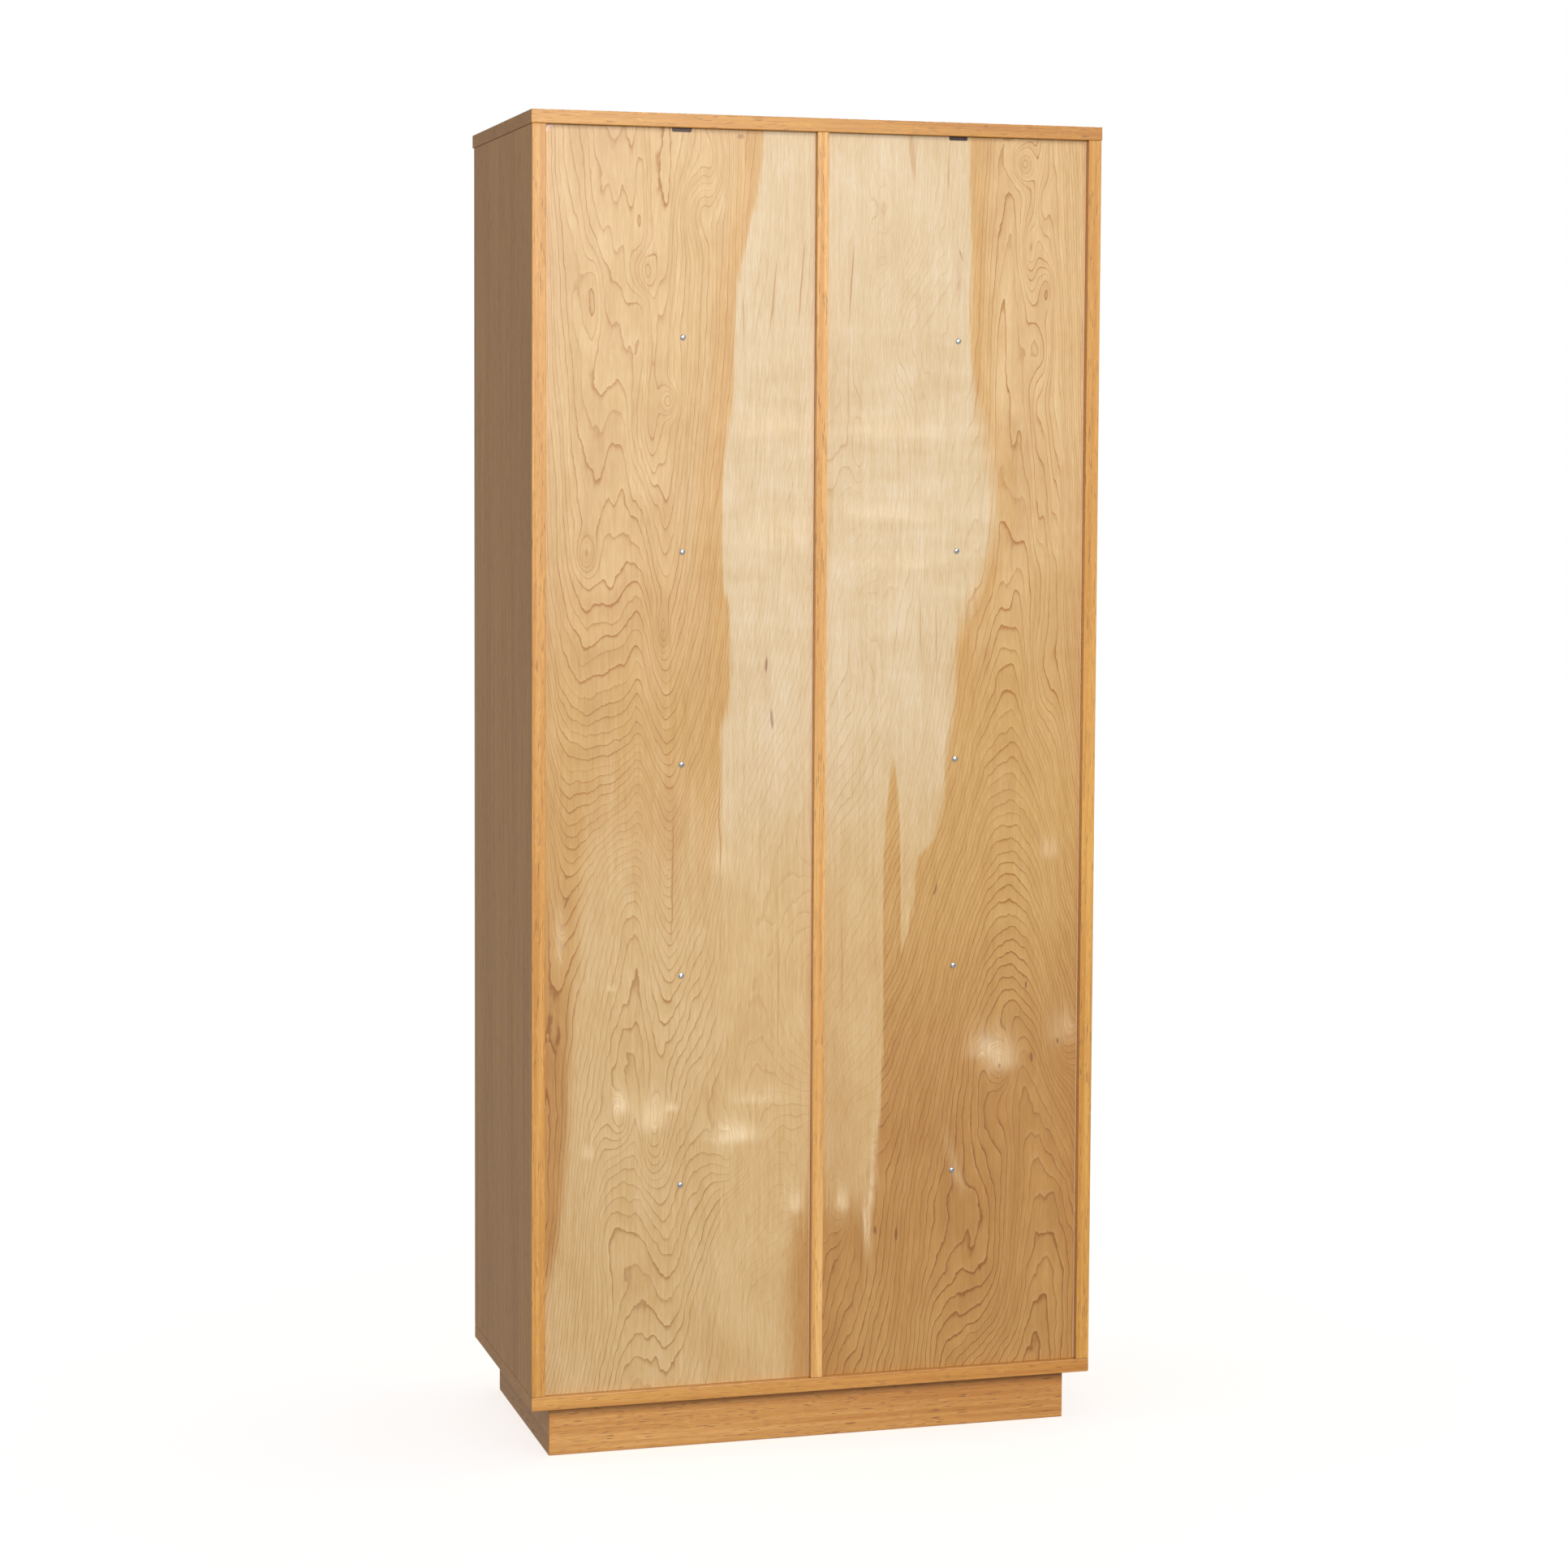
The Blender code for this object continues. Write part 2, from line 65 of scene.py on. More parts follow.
# A darker place in wood is a more saturated one: blue falls the most.
WOOD_FALL: Colour = (0.75, 1.20, 2.40)


class Grain(Enum):
    """Which way a board's grain runs, as the axes along the grain and across it."""

    UPRIGHT = ("Z", "X", "Y")
    LEVEL = ("X", "Z", "Y")
    DEEP = ("Y", "Z", "X")


class Slot(Enum):
    """The record's material slots."""

    ZINC = "bright_zinc"
    BRONZE = "dark_bronze"
    PLASTIC = "catch_plastic"


# ---------------------------------------------------------------- shader maths


class Tone:
    """A number that varies over a surface: one socket, with Python's arithmetic on it."""

    def __init__(self, sheet: Sheet, socket: bpy.types.NodeSocket) -> None:
        """Keep the socket and the sheet that it belongs to."""
        self.sheet = sheet
        self.socket = socket

    def __add__(self, other: Tone | float) -> Tone:
        """Sum."""
        return self.sheet.math("ADD", self, other)

    __radd__ = __add__

    def __sub__(self, other: Tone | float) -> Tone:
        """Difference."""
        return self.sheet.math("SUBTRACT", self, other)

    def __rsub__(self, other: Tone | float) -> Tone:
        """Difference, with this tone taken away."""
        return self.sheet.math("SUBTRACT", other, self)

    def __mul__(self, other: Tone | float) -> Tone:
        """Product."""
        return self.sheet.math("MULTIPLY", self, other)

    __rmul__ = __mul__

    def __truediv__(self, other: Tone | float) -> Tone:
        """Quotient."""
        return self.sheet.math("DIVIDE", self, other)

    def __pow__(self, other: float) -> Tone:
        """Power."""
        return self.sheet.math("POWER", self, other)

    def fraction(self) -> Tone:
        """What is left of a whole number: a saw-tooth."""
        return self.sheet.math("FRACT", self)

    def size(self) -> Tone:
        """Absolute value."""
        return self.sheet.math("ABSOLUTE", self)

    def above(self, other: Tone | float) -> Tone:
        """The greater of two."""
        return self.sheet.math("MAXIMUM", self, other)

    def rise(self, start: float, end: float) -> Tone:
        """Smooth step: 0 at start, 1 at end, which may be the lower of the two."""
        settings = {"interpolation_type": "SMOOTHSTEP"}
        low, high, first, last = (start, end, 0.0, 1.0) if start < end else (end, start, 1.0, 0.0)
        values = {"Value": self, "From Min": low, "From Max": high, "To Min": first, "To Max": last}
        return Tone(self.sheet, self.sheet.node("ShaderNodeMapRange", settings, values).outputs[0])


class Sheet:
    """The node tree of one material, and the few ways in which nodes are put on it."""

    COLUMN = 180
    ROWS = 12

    def __init__(self, name: str) -> None:
        """Start an empty tree with its output and its surface shader."""
        self.material = bpy.data.materials.new(name)
        self.material.use_nodes = True
        self.tree = self.material.node_tree
        self.tree.nodes.clear()
        self.count = 0
        self.surface = self.node("ShaderNodeBsdfPrincipled")
        self.node("ShaderNodeOutputMaterial", values={"Surface": self.surface.outputs[0]})
        self.object_place = self.node("ShaderNodeTexCoord").outputs["Object"]

    def node(
        self,
        kind: str,
        settings: Mapping[str, Any] | None = None,
        values: Mapping[str | int, Any] | None = None,
    ) -> bpy.types.Node:
        """Add a node.

        Args:
            kind: the node's type.
            settings: its own properties; "points" fills a curve.
            values: socket name or number, and the value, tone or socket that it takes.

        Returns:
            The new node.
        """
        node = self.tree.nodes.new(kind)
        column, row = divmod(self.count, self.ROWS)
        node.location = (column * self.COLUMN, -row * self.COLUMN)
        self.count += 1
        for key, value in (settings or {}).items():
            if key == "points":
                self._bend(node, value)
            else:
                setattr(node, key, value)
        for key, value in (values or {}).items():
            socket = value.socket if isinstance(value, Tone) else value
            if isinstance(socket, bpy.types.NodeSocket):
                self.tree.links.new(socket, node.inputs[key])
            else:
                node.inputs[key].default_value = value
        return node

    @staticmethod
    def _bend(node: bpy.types.Node, points: Sequence[tuple[float, float]]) -> None:
        """Give a curve node its points, the first and last of which replace its own two."""
        curve = node.mapping.curves[0]
        for _ in range(len(points) - len(curve.points)):
            curve.points.new(0.5, 0.5)
        for knot, place in zip(curve.points, points):
            knot.location = place
        node.mapping.update()

    def math(self, operation: str, *terms: Tone | float) -> Tone:
        """One Math node on its terms."""
        node = self.node("ShaderNodeMath", {"operation": operation}, dict(enumerate(terms)))
        return Tone(self, node.outputs[0])

    def place(self) -> dict[str, Tone]:
        """The three object coordinates, by the names of their axes."""
        split = self.node("ShaderNodeSeparateXYZ", values={0: self.object_place})
        return {axis: Tone(self, split.outputs[axis]) for axis in "XYZ"}

    def normal(self, axis: str) -> Tone:
        """One part of the surface's direction."""
        geometry = self.node("ShaderNodeNewGeometry")
        split = self.node("ShaderNodeSeparateXYZ", values={0: geometry.outputs["True Normal"]})
        return Tone(self, split.outputs[axis])

    def noise(self, scale: Point, detail: float = 2.0, rough: float = 0.5, seed: float = 0.0) -> Tone:
        """Noise about zero, mostly within a half.

        Args:
            scale: features per metre along X, Y and Z.
            detail: octaves past the first.
            rough: how much each octave keeps of the last.
            seed: shifts the pattern, so that two boards differ.

        Returns:
            The noise as a tone.
        """
        shift = (seed * 3.1, seed * 7.7, seed * 1.3)
        stretch = self.node(
            "ShaderNodeMapping", values={"Vector": self.object_place, "Location": shift, "Scale": scale}
        )
        values = {"Vector": stretch.outputs[0], "Scale": 1.0, "Detail": detail, "Roughness": rough}
        noise = self.node("ShaderNodeTexNoise", values=values)
        return (Tone(self, noise.outputs[0]) - 0.5) * 2.0

    def bell(self, u: Tone, v: Tone, patch: Patch) -> Tone:
        """A smooth hump that is 1 at the patch's middle and fades over its width and height."""
        away = v - patch.level
        beside = u - patch.across
        if patch.lean:
            beside = beside - away * patch.lean
        beside = beside * (1.0 / patch.width)
        away = away * (1.0 / patch.height)
        return self.math("EXPONENT", (beside * beside + away * away) * -1.0)

    def curve(self, value: Tone, points: Sequence[tuple[float, float]]) -> Tone:
        """A smooth curve through points.

        Args:
            value: what the curve is read at.
            points: (value, result) pairs, from the lowest value to the highest.

        Returns:
            The curve's result.
        """
        start, end = points[0][0], points[-1][0]
        results = [result for _, result in points]
        low, span = min(results), max(max(results) - min(results), 1e-6)
        knots = [((at - start) / (end - start), (result - low) / span) for at, result in points]
        share = (value - start) * (1.0 / (end - start))
        curve = self.node("ShaderNodeFloatCurve", {"points": knots}, {"Value": share})
        return Tone(self, curve.outputs[0]) * span + low

    def mix(self, share: Tone | float, first: Any, second: Any, blend: str = "MIX") -> bpy.types.NodeSocket:
        """Mix two colours.

        Args:
            share: how much of the second there is.
            first: a colour or a colour socket.
            second: a colour or a colour socket.
            blend: the way of mixing.

        Returns:
            The mixed colour's socket.
        """
        settings = {"data_type": "RGBA", "blend_type": blend, "clamp_factor": True}
        values = {0: share}
        for index, colour in ((6, first), (7, second)):
            values[index] = colour if isinstance(colour, bpy.types.NodeSocket) else (*colour, 1.0)
        return self.node("ShaderNodeMix", settings, values).outputs[2]

    def shade(
        self, colour: bpy.types.NodeSocket, amount: Tone, fall: Colour = (1.0, 1.0, 1.0)
    ) -> bpy.types.NodeSocket:
        """Make a colour lighter or darker.

        Args:
            colour: the colour's socket.
            amount: the lightness, about 1.
            fall: how strongly red, green and blue follow it.

        Returns:
            The shaded colour's socket.
        """
        parts = {index: amount if power == 1.0 else amount**power for index, power in enumerate(fall)}
        tint = self.node("ShaderNodeCombineXYZ", values=parts).outputs[0]
        return self.mix(1.0, colour, tint, "MULTIPLY")

    def bump(self, height: Tone, distance: float) -> None:
        """Raise the surface by a tone times a distance in metres."""
        node = self.node("ShaderNodeBump", values={"Strength": 1.0, "Distance": distance, "Height": height})
        self.tree.links.new(node.outputs[0], self.surface.inputs["Normal"])

    def finish(self, colour: Any, roughness: Tone | float, **fixed: float) -> bpy.types.Material:
        """Join colour and roughness to the surface and set its fixed values.

        Args:
            colour: the base colour, or its socket.
            roughness: how matt it is.
            **fixed: values that are the same all over, by the names of their sockets in lower case.

        Returns:
            The finished material.
        """
        for name, value in (("Base Color", colour), ("Roughness", roughness)):
            socket = value.socket if isinstance(value, Tone) else value
            if isinstance(socket, bpy.types.NodeSocket):
                self.tree.links.new(socket, self.surface.inputs[name])
            else:
                self.surface.inputs[name].default_value = (*value, 1.0) if name == "Base Color" else value
        for name, value in fixed.items():
            self.surface.inputs[name.replace("_", " ").title().replace("Ior", "IOR")].default_value = value
        return self.material


# ---------------------------------------------------------------- finishes


@dataclass(frozen=True)
class Patch:
    """A place on a back panel, and how far it reaches."""

    across: float
    level: float
    width: float
    height: float
    strength: float = 1.0
    lean: float = 0.0


@dataclass(frozen=True)
class OakVeneer:
    """Oak under a satin lacquer, cut so that its pores show as short dark dashes."""

    name: str
    grain: Grain
    seed: float = 0.0
    tint: Colour = (0.655, 0.312, 0.058)
    coarse: float = 1.0
    ring: float = 0.0042
    lacquer: float = 0.55
    lacquer_roughness: float = 0.44
    # Painted shade: how strongly the board darkens towards -X, standing in for the light falling off there.
    painted_falloff_shade: float = 0.0
    pore_brown: Colour = (0.26, 0.10, 0.026)
    ray_cream: Colour = (0.86, 0.56, 0.25)
    # The colour of that painted shade, laid over the oak by multiplying.
    falloff_shade_colour: Colour = (0.84, 0.74, 0.56)

    def stretch(self, along: float, across: float) -> Point:
        """Noise scales for features that are long along the grain."""
        order = {"X": across, "Y": across, "Z": across}
        order[self.grain.value[0]] = along
        return order["X"], order["Y"], order["Z"]

    def material(self) -> bpy.types.Material:
        """Build the oak."""
        sheet = Sheet(self.name)
        place = sheet.place()
        _, first, second = (place[axis] for axis in self.grain.value)
        drift = sheet.noise(self.stretch(0.9, 6.0), 2.0, 0.5, self.seed)
        wander = sheet.noise(self.stretch(4.0, 40.0), 2.0, 0.5, self.seed + 1.0)
        radius = sheet.math("SQRT", first * first * 0.55 + (second + 0.9) * (second + 0.9))
        rings = radius * (1.0 / self.ring) + drift * 16.0 + wander * 2.2
        year = rings.fraction()
        porous = year.rise(0.62, 0.10)
        late = year.rise(0.25, 0.95)
        broad = sheet.noise(self.stretch(0.7, 16.0), 2.0, 0.5, self.seed + 2.0)
        streak = sheet.noise(self.stretch(2.2, 150.0), 3.0, 0.55, self.seed + 3.0)
        fibre = sheet.noise(self.stretch(26.0, 900.0), 2.0, 0.5, self.seed + 4.0)
        pores = sheet.noise(self.stretch(46.0, 760.0 / self.coarse), 1.0, 0.5, self.seed + 5.0)
        dashes = pores.rise(0.13, 0.29) * (porous * 0.70 + 0.30)
        fleck = sheet.noise(self.stretch(75.0, 260.0), 1.0, 0.5, self.seed + 6.0).rise(0.30, 0.46)
        red, green, blue = self.tint
        pale = (min(1.0, red * 1.10), green * 1.17, blue * 1.45)
        deep = (red * 0.84, green * 0.74, blue * 0.62)
        colour = sheet.mix(streak * 1.5 + broad * 0.7 + 0.46, deep, pale)
        colour = sheet.mix(late * 0.28, colour, deep)
        colour = sheet.mix(dashes * (0.62 * self.coarse), colour, self.pore_brown)
        colour = sheet.mix(fleck * 0.16, colour, self.ray_cream)
        # Painted shade: darker and more saturated towards -X, where the light fell off across the cabinet.
        away = place["X"].rise(0.38, -0.38) * self.painted_falloff_shade
        colour = sheet.mix(away, colour, self.falloff_shade_colour, "MULTIPLY")
        colour = sheet.shade(colour, fibre * 0.16 + 1.0, WOOD_FALL)
        sheet.bump(fibre * 0.35 - dashes, 0.00008 * self.coarse)
        rough = 0.50 + dashes * 0.16 + streak * 0.06
        return sheet.finish(colour, rough, coat_weight=self.lacquer, coat_roughness=self.lacquer_roughness)


@dataclass(frozen=True)
class BirchFigure:
    """What tells one rotary-cut birch face from the other.

    heart_side is -1 where the heartwood lies to the left of its edge, and 1 where it lies to the right.
    heart_edge, gold_edge, softness, climb and spread are curves over the height, and drape is one across
    the panel: climb less drape counts the growth lines, and spread says how far the drape holds. gold_from
    and loose are the heights between which all the heartwood turns golden and the lines turn wild.
    """

    name: str
    middle: float
    heart_side: float
    heart_edge: Sequence[tuple[float, float]]
    gold_edge: Sequence[tuple[float, float]]
    gold_from: tuple[float, float]
    softness: Sequence[tuple[float, float]]
    climb: Sequence[tuple[float, float]]
    drape: Sequence[tuple[float, float]]
    loose: tuple[float, float]
    spread: Sequence[tuple[float, float]]
    swirls: Sequence[Patch]
    tongues: Sequence[Patch]
    knot_halos_and_sheen: Sequence[Patch]
    stains: Sequence[Patch]
    flecks: Sequence[Patch]
    threads: Sequence[Patch]
    foot_side: float
    seed: float


@dataclass(frozen=True)
class BirchFace:
    """The tones that a birch face is coloured by.

    count grows by one from each growth line to the next, since is how far the next has come, and line is
    1 on it. heart and gilt say where heartwood is and where it is golden. cloud, streak and fibre are
    broad, long and fine variation.
    """

    sheet: Sheet
    place: dict[str, Tone]
    across: Tone
    level: Tone
    count: Tone
    since: Tone
    line: Tone
    heart: Tone
    gilt: Tone
    cloud: Tone
    streak: Tone
    fibre: Tone


@dataclass(frozen=True)
class BirchVeneer:
    """Clear-lacquered birch plywood: growth lines like a map's contours, sapwood beside heartwood."""

    figure: BirchFigure
    sap: Colour = (0.640, 0.472, 0.264)
    low_sap: Colour = (0.608, 0.392, 0.165)
    gold: Colour = (0.570, 0.328, 0.096)
    deep_gold: Colour = (0.470, 0.222, 0.049)
    high_gold: Colour = (0.645, 0.418, 0.172)
    rose: Colour = (0.610, 0.365, 0.165)
    rim_gold: Colour = (0.600, 0.330, 0.092)
    line_brown: Colour = (0.380, 0.150, 0.014)
    deep_brown: Colour = (0.290, 0.105, 0.010)
    line_cream: Colour = (0.840, 0.630, 0.380)
    knot_cream: Colour = (0.870, 0.660, 0.390)
    knot_brown: Colour = (0.200, 0.070, 0.022)
    thread_brown: Colour = (0.420, 0.190, 0.048)
    core_brown: Colour = (0.440, 0.250, 0.115)
    pink_wood: Colour = (0.760, 0.520, 0.350)
    torn_pink: Colour = (0.700, 0.460, 0.300)
    torn_cream: Colour = (0.860, 0.660, 0.500)
    lacquer: float = 0.55
    lacquer_roughness: float = 0.44

    def lines(self, sheet: Sheet, across: Tone, level: Tone) -> Tone:
        """Count the growth lines: each whole number is a line.

        Args:
            sheet: the material's nodes.
            across: place across the panel.
            level: height above the floor.

        Returns:
            The count, which the curves, the noise and the swirls round the knots bend.
        """
        f = self.figure
        roll = sheet.noise((9.0, 1.0, 2.2), 1.0, 0.5, f.seed)
        grown = sheet.noise((16.0, 1.0, 1.5), 2.0, 0.45, f.seed + 10.0)
        wave = sheet.noise((22.0, 1.0, 9.0), 2.0, 0.5, f.seed + 1.0)
        jag = sheet.noise((75.0, 1.0, 30.0), 2.0, 0.6, f.seed + 2.0)
        wild = level.rise(*f.loose)
        count = sheet.curve(level, f.climb) - sheet.curve(across, f.drape) * sheet.curve(level, f.spread)
        count = count + roll * 1.6 + grown * (wild * 4.8 + 0.8) + wave * (1.3 - wild * 0.5) + jag * 0.30
        for swirl in f.swirls:
            count = count + sheet.bell(across, level, swirl) * swirl.strength
        return count

    def heart(self, sheet: Sheet, across: Tone, level: Tone) -> Tone:
        """Tell heartwood from sapwood.

        Args:
            sheet: the material's nodes.
            across: place across the panel.
            level: height above the floor.

        Returns:
            1 in the heartwood and in its tongues, and 0 in the sapwood.
        """
        f = self.figure
        lick = sheet.noise((120.0, 1.0, 4.0), 3.0, 0.6, f.seed + 3.0)
        blur = sheet.curve(level, f.softness)
        beside = (across - sheet.curve(level, f.heart_edge) + lick * (blur * 0.6 + 0.006)) * f.heart_side
        mask = (beside / blur).rise(-0.5, 0.8)
        for tongue in f.tongues:
            mask = mask.above(sheet.bell(across + lick * 0.004, level, tongue).rise(0.36, 0.48))
        return mask

    def gilt(self, sheet: Sheet, across: Tone, level: Tone) -> Tone:
        """Tell golden heartwood from pale.

        Args:
            sheet: the material's nodes.
            across: place across the panel.
            level: height above the floor.

        Returns:
            1 past the gold's edge and in the upper panel, and 0 elsewhere.
        """
        f = self.figure
        lick = sheet.noise((60.0, 1.0, 5.0), 3.0, 0.6, f.seed + 4.0)
        beside = (across - sheet.curve(level, f.gold_edge) + lick * 0.012) * f.heart_side
        upper = (level + lick * 0.16).rise(*f.gold_from)
        return beside.rise(-0.010, 0.014).above(upper)

    def face(self) -> BirchFace:
        """Lay out the tones that the face is coloured by."""
        f = self.figure
        sheet = Sheet(f.name)
        place = sheet.place()
        level = place["Z"]
        across = f.middle - place["X"]
        count = self.lines(sheet, across, level)
        since = count.fraction()
        return BirchFace(
            sheet=sheet,
            place=place,
            across=across,
            level=level,
            count=count,
            since=since,
            line=since.rise(0.62, 1.0) ** 3.2,
            heart=self.heart(sheet, across, level),
            gilt=self.gilt(sheet, across, level),
            cloud=sheet.noise((14.0, 1.0, 9.0), 2.0, 0.5, f.seed + 5.0),
            streak=sheet.noise((210.0, 1.0, 7.0), 3.0, 0.6, f.seed + 8.0),
            fibre=sheet.noise((950.0, 1.0, 60.0), 2.0, 0.55, f.seed + 7.0),
        )

    def wood(self, face: BirchFace) -> bpy.types.NodeSocket:
        """Colour the plain wood.

        Args:
            face: the face's tones.

        Returns:
            Sapwood beside heartwood, both deeper low down and paler high up, partly the wood and partly
            painted shade low down and painted sheen high up; the heartwood is rosier high up, richer at its
            edge, and deepest in the strip at the foot.
        """
        f, sheet, level = self.figure, face.sheet, face.level
        # Deeper towards the floor and paler towards the top: partly the wood's own colour, partly painted
        # shade low down and painted sheen high up, for how the light falls from top to bottom.
        sap = sheet.mix(level.rise(1.10, 0.72), self.sap, self.low_sap)
        depth = level.rise(0.90, 0.45) * 0.9 - level.rise(0.34, 0.16) * 0.22
        gold = sheet.mix(depth, self.gold, self.deep_gold)
        gold = sheet.mix(level.rise(1.05, 1.45), gold, self.high_gold)
        rosy = sheet.noise((16.0, 1.0, 4.5), 2.0, 0.5, f.seed + 12.0).rise(-0.10, 0.35)
        gold = sheet.mix(rosy * 0.30 * level.rise(0.7, 1.2), gold, self.rose)
        inside = (face.across - sheet.curve(level, f.heart_edge) + face.streak * 0.012) * f.heart_side
        rim = inside.rise(0.050, 0.012) * level.rise(0.95, 1.25)
        gold = sheet.mix(rim * 0.75, gold, self.rim_gold)
        heartwood = sheet.mix(face.gilt, self.low_sap, gold)
        colour = sheet.mix(face.heart, sap, heartwood)
        foot = (face.across * f.foot_side + face.streak * 0.03).rise(0.150, 0.186)
        foot = foot * (level + face.streak * 0.12).rise(0.375, 0.290)
        return sheet.mix(foot * 0.80, colour, self.deep_gold)

    def drawn(self, face: BirchFace, colour: bpy.types.NodeSocket) -> bpy.types.NodeSocket:
        """Draw the growth lines.

        Args:
            face: the face's tones.
            colour: the wood's colour.

        Returns:
            The colour with lines of changing weight, the paler wood after each, and the broad bands that
            several years make.
        """
        sheet, level, heart, since = face.sheet, face.level, face.heart, face.since
        golden = heart * face.gilt
        faint = sheet.noise((20.0, 1.0, 5.0), 1.0, 0.5, self.figure.seed + 9.0)
        calm = level.rise(1.36, 1.16) * 0.15 + 0.85
        chance = (sheet.math("SINE", (face.count - since) * 12.9898) * 437.585).fraction()
        weight = golden * 0.54 + heart * 0.08 + heart * level.rise(0.95, 0.60) * 0.16 + 0.24
        weight = weight * (faint * 0.8 + 1.0) * calm * (chance * 1.1 + 0.45)
        brown = sheet.mix(level.rise(0.95, 0.50) * heart, self.line_brown, self.deep_brown)
        colour = sheet.mix(face.line * weight, colour, brown)
        colour = sheet.mix(since.rise(0.25, 0.0) * 0.05, colour, self.line_cream)
        colour = sheet.mix(since * (heart * 0.08 + 0.02), colour, brown)
        band = ((face.count * 0.29 + face.cloud * 0.8).fraction() - 0.5).size() * 2.0
        return sheet.mix(band * (golden * 0.17 + 0.03), colour, brown)

    def marked(self, face: BirchFace, colour: bpy.types.NodeSocket) -> bpy.types.NodeSocket:
        """Put on the pale knots, the painted sheen bands, the stains, the threads and the dark flecks.

        Args:
            face: the face's tones.
            colour: the colour so far.

        Returns:
            The colour with its marks.
        """
        f, sheet, across, level = self.figure, face.sheet, face.across, face.level
        glow: Tone | float = 0.0
        # Most of these patches are pale wood round knots; the wide flat ones high up by the divider are
        # painted sheen.
        for patch in f.knot_halos_and_sheen:
            above = level - patch.level + face.cloud * 0.01
            cut = above.rise(-patch.height * 0.9, -patch.height * 0.1) * 0.85 + 0.15
            shape = sheet.bell(across + face.streak * 0.005, level + face.cloud * 0.02, patch)
            glow = glow + shape * cut * patch.strength
        ripple = (face.count * 3.0).fraction()
        colour = sheet.mix(glow * (0.44 + ripple * 0.75 + face.streak * 0.35), colour, self.knot_cream)
        for patch in f.stains:
            stain = sheet.bell(across + face.streak * 0.008, level, patch) * patch.strength
            colour = sheet.mix(stain * (0.8 + face.streak), colour, self.line_brown)
        for patch in f.threads:
            thread = sheet.bell(across + face.cloud * 0.006 + face.streak * 0.001, level, patch)
            colour = sheet.mix(thread.rise(0.20, 0.80) * patch.strength, colour, self.thread_brown)
        for patch in f.flecks:
            fleck = sheet.bell(across + face.streak * 0.003, level + face.fibre * 0.002, patch)
            colour = sheet.mix(fleck.rise(0.25, 0.70) * patch.strength, colour, self.knot_brown)
        return colour

    def brightened(self, face: BirchFace, colour: bpy.types.NodeSocket) -> bpy.types.NodeSocket:
        """Lighten and darken the wood by its fibres, and paint the lacquer's rippled sheen high in the
        sapwood.

        Args:
            face: the face's tones.
            colour: the colour so far.

        Returns:
            The colour with its cloud, fibres and painted sheen.
        """
        f, sheet, level = self.figure, face.sheet, face.level
        # Painted sheen: soft level ripples of brightness where the satin lacquer catches the light, high up
        # and mostly in the sapwood.
        painted_sheen_ripple = sheet.noise((8.0, 1.0, 34.0), 2.0, 0.55, f.seed + 6.0)
        stroke = sheet.noise((430.0, 1.0, 42.0), 2.0, 0.6, f.seed + 13.0)
        painted_sheen_place = level.rise(0.95, 1.30) * level.rise(1.80, 1.50) * (1.0 - face.heart * 0.5)
        cloud_and_painted_sheen = painted_sheen_ripple * 0.12 * painted_sheen_place + face.cloud * 0.15
        light = cloud_and_painted_sheen + face.fibre * 0.12 + stroke * 0.15 + face.streak * 0.15 + 1.015
        return sheet.shade(colour, light, WOOD_FALL)

    def edged(self, face: BirchFace, colour: bpy.types.NodeSocket) -> bpy.types.NodeSocket:
        """Show the plies on the panel's edges, the pale arris at one side, and the torn corner.

        Args:
            face: the face's tones.
            colour: the face's colour.

        Returns:
            The colour with its edges.
        """
        sheet = face.sheet
        low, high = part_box("back_panel_right")
        ply = (high.y - low.y) / 3.0
        depth = face.place["Y"]
        edge = sheet.normal("Y").size().rise(0.75, 0.35)
        core = (depth - (low.y + high.y) / 2.0).size().rise(ply * 0.62, ply * 0.42)
        plies = sheet.mix(core, self.pink_wood, self.core_brown)
        colour = sheet.mix(edge * 0.85, colour, plies)
        arris = face.across.rise(0.1955, 0.1972) * 0.75
        colour = sheet.mix(arris, colour, self.pink_wood)
        torn = depth.rise(high.y - 0.00045, high.y - 0.0008) * depth.rise(high.y - 0.003, high.y - 0.002)
        torn = torn * face.level.rise(high.z - 0.020, high.z - 0.018)
        torn = torn * face.place["X"].rise(high.x - 0.020, high.x - 0.018)
        splinters = sheet.noise((300.0, 1.0, 900.0), 2.0) + 0.5
        return sheet.mix(torn, colour, sheet.mix(splinters, self.torn_pink, self.torn_cream))

    def material(self) -> bpy.types.Material:
        """Build the birch."""
        face = self.face()
        colour = self.drawn(face, self.wood(face))
        colour = self.brightened(face, self.marked(face, colour))
        face.sheet.bump(face.fibre * 0.5 - face.line * 0.4, 0.00005)
        return face.sheet.finish(
            self.edged(face, colour),
            0.50 + face.streak * 0.08,
            coat_weight=self.lacquer,
            coat_roughness=self.lacquer_roughness,
        )


@dataclass(frozen=True)
class Metal:
    """Plated or oxidised metal, with a cloudy surface and brighter rubbed places."""

    name: str
    colour: Colour
    rubbed: Colour
    roughness: float
    metallic: float = 1.0
    cloud: float = 260.0
    wear: float = 0.35

    def material(self) -> bpy.types.Material:
        """Build the metal."""
        sheet = Sheet(self.name)
        cloud = sheet.noise((self.cloud, self.cloud, self.cloud), 3.0, 0.6)
        scratch = sheet.noise((self.cloud * 9.0, self.cloud * 9.0, self.cloud * 1.5), 2.0, 0.6, 3.0)
        worn = (cloud + scratch * 0.5).rise(0.05, 0.55)
        colour = sheet.mix(worn * self.wear, self.colour, self.rubbed)
        colour = sheet.shade(colour, cloud * 0.16 + 1.0)
        sheet.bump(scratch, 0.000012)
        rough = cloud * 0.12 + scratch * 0.06 + self.roughness
        return sheet.finish(colour, rough, metallic=self.metallic)


